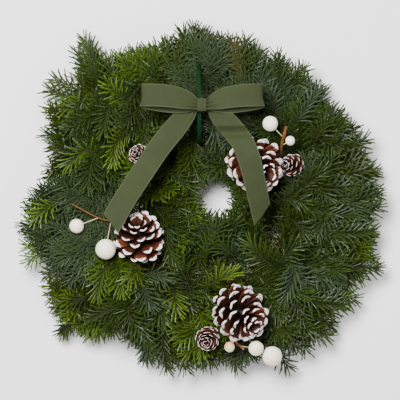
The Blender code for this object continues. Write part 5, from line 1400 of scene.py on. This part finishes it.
def grosgrain():
    """Matt ribbed ribbon in sage green, darker in the grooves between the ribs as painted shade, and a touch
    lighter along its woven edges.
    """
    made, tree, shader, where = new_finish("sage_grosgrain", 0.8, 0.15)
    weave = add_node(tree, "ShaderNodeAttribute", attribute_name="weave", out="Vector")
    weave = add_node(tree, "ShaderNodeSeparateXYZ", {0: weave}).node.outputs
    # Ribs run across the ribbon, 1.3 mm apart, and stop short of the woven edge
    wave = maths(tree, "MULTIPLY", weave[0], 2 * math.pi / 1.3)
    rib = maths(tree, "SINE", wave)
    rib = maths(tree, "MULTIPLY_ADD", rib, 0.5, 0.5)
    off = maths(tree, "ABSOLUTE", weave[1])
    edge = add_node(tree, "ShaderNodeMapRange", {"Value": off, "From Min": 11.3, "From Max": 11.8})
    cloud = noise(tree, where, 40.0, 2.0)
    thread = noise(tree, where, 1400.0, 2.0)
    # The grooves between the ribs are painted darker: painted shade.
    tone = maths(tree, "MULTIPLY_ADD", rib, 0.35, 0.1)
    tone = maths(tree, "MULTIPLY_ADD", cloud, 0.5, tone)
    tone = maths(tree, "MULTIPLY_ADD", thread, 0.25, tone)
    sage = blend(tree, tone, "202513", "343b23")
    sage = blend(tree, edge, sage, "3a412b")
    tree.links.new(sage, shader["Base Color"])
    height = add_node(tree, "ShaderNodeMix", {0: edge, 2: rib, 3: thread})
    raise_surface(tree, shader, height, 0.6, 0.00025)
    return made


def plain_profile(half, fold, along):
    """Across and up from the middle line, from one edge to the other, with the gather's soft waves."""
    shares = np.linspace(-1, 1, RIBBON_SPANS + 1)
    wave = fold * np.cos(3.2 * math.pi * shares + 0.8 * math.sin(0.11 * along))
    return np.stack([half * shares, wave + 0.35 * (1 - shares ** 2)], axis=1)


def crease_depth(height):
    """How deep the right tail dips under its level crease, steep above and easing out below."""
    past = np.maximum(0.0, CREASE_TOP - height)
    fall = np.sin(0.5 * math.pi * np.minimum(1.0, past / CREASE_FALL))
    return CREASE_DEPTH * fall * np.exp(-np.maximum(0.0, past - CREASE_FALL) / CREASE_EASE)


def ribbon_faces(count, wide, closed):
    """The faces of a ribbon's two sides, its edges and, where it isn't a ring, its ends."""
    under = count * wide
    faces = []
    for i in range(count if closed else count - 1):
        here, there = i * wide, ((i + 1) % count) * wide
        for k in range(wide - 1):
            faces.append((here + k, there + k, there + k + 1, here + k + 1))
            faces.append((under + here + k, under + here + k + 1, under + there + k + 1, under + there + k))
        faces.append((here, under + here, under + there, there))
        last = wide - 1
        faces.append((here + last, there + last, under + there + last, under + here + last))
    if not closed:
        last = (count - 1) * wide
        for k in range(wide - 1):
            faces.append((k, k + 1, under + k + 1, under + k))
            faces.append((last + k, under + last + k, under + last + k + 1, last + k + 1))
    return faces


def ribbon_piece(name, rows, finish, across=None, closed=False, slant=0.0, profile=plain_profile,
                 creased=False):
    """A ribbon and its length, from rows of a place, a half width, the gather's depth and a tilt."""
    fine = smooth_line(rows, RIBBON_STEP, closed)
    fine = fine[:-1] if closed else fine
    middles = fine[:, :3]
    if closed:
        ahead = np.roll(middles, -1, axis=0) - np.roll(middles, 1, axis=0)
    else:
        ahead = np.gradient(middles, axis=0)
    along = RIBBON_STEP * np.arange(len(middles))
    front, back, weave = [], [], []
    for row, step, far in zip(fine, ahead, along):
        step = unit(step)
        sideways = np.array(across, float) if across is not None else np.cross(step * (1, 1, 0), UP)
        sideways = unit(sideways if across is not None or sideways[0] > 0 else -sideways)
        sideways = sideways + (row[5] if len(row) > 5 else 0.0) * UP
        sideways = unit(sideways - step * np.dot(sideways, step))
        normal = np.cross(step, sideways)
        normal = normal if closed or normal[2] > 0 else -normal
        section = profile(row[3], row[4], far)
        spots = row[:3] + section[:, :1] * sideways + section[:, 1:] * normal
        ends = unit(np.cross(sideways, normal))
        runs = np.gradient(spots, axis=0)
        faces_out = np.stack([unit(np.cross(ends, run)) for run in runs])
        if np.dot(faces_out[len(faces_out) // 2], normal) < 0:
            faces_out = -faces_out
        if slant:
            nearness = max(0.0, 1 - (along[-1] - far) / SLANT_RUN)
            spots = spots + (nearness * slant * section[:, :1] / (RIBBON_WIDTH / 2)) * step
        if creased:
            spots = spots - crease_depth(spots[:, 1:2]) * UP
        front.append(spots + RIBBON_THICKNESS / 2 * faces_out)
        back.append(spots - RIBBON_THICKNESS / 2 * faces_out)
        widths = np.concatenate([[0.0], np.cumsum(np.linalg.norm(np.diff(section, axis=0), axis=1))])
        weave.append([(far, (w / widths[-1] - 0.5) * RIBBON_WIDTH, 0.0) for w in widths])
    points = in_metres(np.concatenate(front + back))
    mesh = bpy.data.meshes.new(name)
    mesh.from_pydata([tuple(point) for point in points], [], ribbon_faces(len(front), len(front[0]), closed))
    shape = bmesh.new()
    shape.from_mesh(mesh)
    bmesh.ops.recalc_face_normals(shape, faces=shape.faces)
    for face in shape.faces:
        face.smooth = True
    for join in shape.edges:
        join.smooth = join.calc_face_angle(0.0) < SHARP_TURN
    shape.to_mesh(mesh)
    shape.free()
    mark_points(mesh, "weave", np.concatenate(weave + weave))
    mesh.materials.append(finish)
    flat_length = along[-1]
    if creased:
        laid = middles - crease_depth(middles[:, 1:2]) * UP
        flat_length = float(np.linalg.norm(np.diff(laid, axis=0), axis=1).sum())
    return set_out(name, mesh), 0.001 * flat_length


# How far from the knot the loops' gathers run, and how deep a tail's gather is for each millimetre drawn in
GATHER_RUN, TAIL_GATHER = 15.0, 1.2 / 7.0
sage = grosgrain()
left_rows = [(*(BOW_CENTRE + np.array([x, rise, z])), half, 2 * fold * math.exp(-(x / GATHER_RUN) ** 2))
             for x, z, rise, half, fold in LOOP_LINE]
right_rows = [(2 * BOW_CENTRE[0] - row[0], *row[1:]) for row in reversed(left_rows[1:-1])]
rows = np.array(left_rows + right_rows)
loops, length = ribbon_piece("gathered_loops", rows, sage, (0.0, 1.0, 0.0), closed=True)
place_piece(loops, "sage_ribbon", "bow_loops")
# How far each tail turns to one side, row by row: the left one towards the light, the right one away from it
LEFT_TILTS = (0.0, 0.0, 0.0, 0.1, 0.2, 0.22, 0.2, 0.16)
RIGHT_TILTS = (0.0, 0.0, 0.0, 0.0, -0.05, 0.0, -0.16, -0.34, -0.46, -0.5)
LEFT_SLANT, RIGHT_SLANT = 5.5, -8.5
for side, line, tilts, slant in (("left", LEFT_TAIL, LEFT_TILTS, LEFT_SLANT),
                                 ("right", RIGHT_TAIL, RIGHT_TILTS, RIGHT_SLANT)):
    rows = [(*row, TAIL_GATHER * (RIBBON_WIDTH / 2 - row[3]), tilt) for row, tilt in zip(line, tilts)]
    tail, length = ribbon_piece(f"ribbon_tail_{side}", np.array(rows), sage, slant=slant,
                                creased=side == "right")
    place_piece(tail, "sage_ribbon", f"bow_tail_{side}")

KNOT_HALF_HEIGHT, KNOT_FRONT, KNOT_BACK, KNOT_CORNER, KNOT_HALF_WIDTH = 6.9, 4.6, -8.4, 1.5, 5.1
KNOT_SHIFT, KNOT_SUNK, KNOT_CREASES, KNOT_PUCKER = np.array([-0.5, -0.6, 0.0]), -0.95, 0.25, 0.066


def folded_profile(half, fold, along):
    """The ribbon's two edges turned under, so that it lies 10 mm wide."""
    inner = half - 0.5
    pucker = KNOT_PUCKER * math.sin(0.55 * along)
    top = [(x, KNOT_CREASES * math.cos(0.9 * x) * (1 - (x / half) ** 2) + pucker)
           for x in np.linspace(-inner, inner, 13)]
    left = [(-0.4, KNOT_SUNK), (-inner, KNOT_SUNK), (-half, KNOT_SUNK / 2)]
    right = [(half, KNOT_SUNK / 2), (inner, KNOT_SUNK), (1.0, KNOT_SUNK)]
    return np.array(left + top + right)


half, corner, front, back = KNOT_HALF_HEIGHT, KNOT_CORNER, KNOT_FRONT, KNOT_BACK
outline = [(corner - half, back), (half - corner, back), (half, back + corner), (half, front - corner),
           (half - corner, front), (corner - half, front), (-half, front - corner), (-half, back + corner)]
rows = np.array([(*(BOW_CENTRE + KNOT_SHIFT + (0, y, z)), KNOT_HALF_WIDTH, 0.0) for y, z in outline])
knot, length = ribbon_piece("wrapped_knot", rows, sage, (1.0, 0.0, 0.0), closed=True, profile=folded_profile)
place_piece(knot, "sage_ribbon", "bow_knot")

# Floor, lights and camera. A white sweep under a big soft light from the top left, and a weaker one opposite.
# The camera looks straight down on the wreath from 8 m, as in the photograph.
CAMERA_HEIGHT, FIELD_WIDTH, FIELD_HEIGHT_ABOVE_FLOOR, CAMERA_SPOT = 8.0, 0.44, 0.035, (-0.55, -2.75, 0.0)
FLOOR_SIZE, SENSOR_WIDTH, AIR_LIGHT = 6.0, 36.0, 0.36

bpy.ops.mesh.primitive_grid_add(x_subdivisions=8, y_subdivisions=8, size=FLOOR_SIZE, location=(0, 0, 0))
floor = bpy.context.object
floor.name = "studio_floor"
# Matt white paper, with the faintest mottle a third of a metre across
backdrop = grained_finish("white_backdrop_paper", 0.9, "f6f6f6", "fbfbfb", 3.0, 2.0)[0]
floor.data.materials.append(backdrop)


def soft_light(name, place, size, power, aim=(0.0, 0.0, 0.0)):
    """A round softbox that points at the wreath."""
    light = bpy.data.lights.new(name, "AREA")
    light.shape = "DISK"
    light.size = size
    light.energy = power
    made = set_out(name, light)
    made.location = place
    made.rotation_mode = "QUATERNION"
    made.rotation_quaternion = (Vector(aim) - Vector(place)).to_track_quat("-Z", "Y")


soft_light("key_softbox", (-0.5, 0.6, 1.9), 0.9, 114.0)
soft_light("fill_softbox", (1.2, -0.6, 1.5), 1.6, 14.0)
world = bpy.data.worlds.new("studio")
bpy.context.scene.world = world
world.use_nodes = True
world.node_tree.nodes["Background"].inputs["Color"].default_value = (1.0, 1.0, 1.0, 1.0)
world.node_tree.nodes["Background"].inputs["Strength"].default_value = AIR_LIGHT

lens = bpy.data.cameras.new("camera")
lens.sensor_width = SENSOR_WIDTH
lens.lens = SENSOR_WIDTH * (CAMERA_HEIGHT - FIELD_HEIGHT_ABOVE_FLOOR) / FIELD_WIDTH
camera = set_out("camera", lens)
camera.location = (*in_metres(CAMERA_SPOT)[:2], CAMERA_HEIGHT)
bpy.context.scene.camera = camera
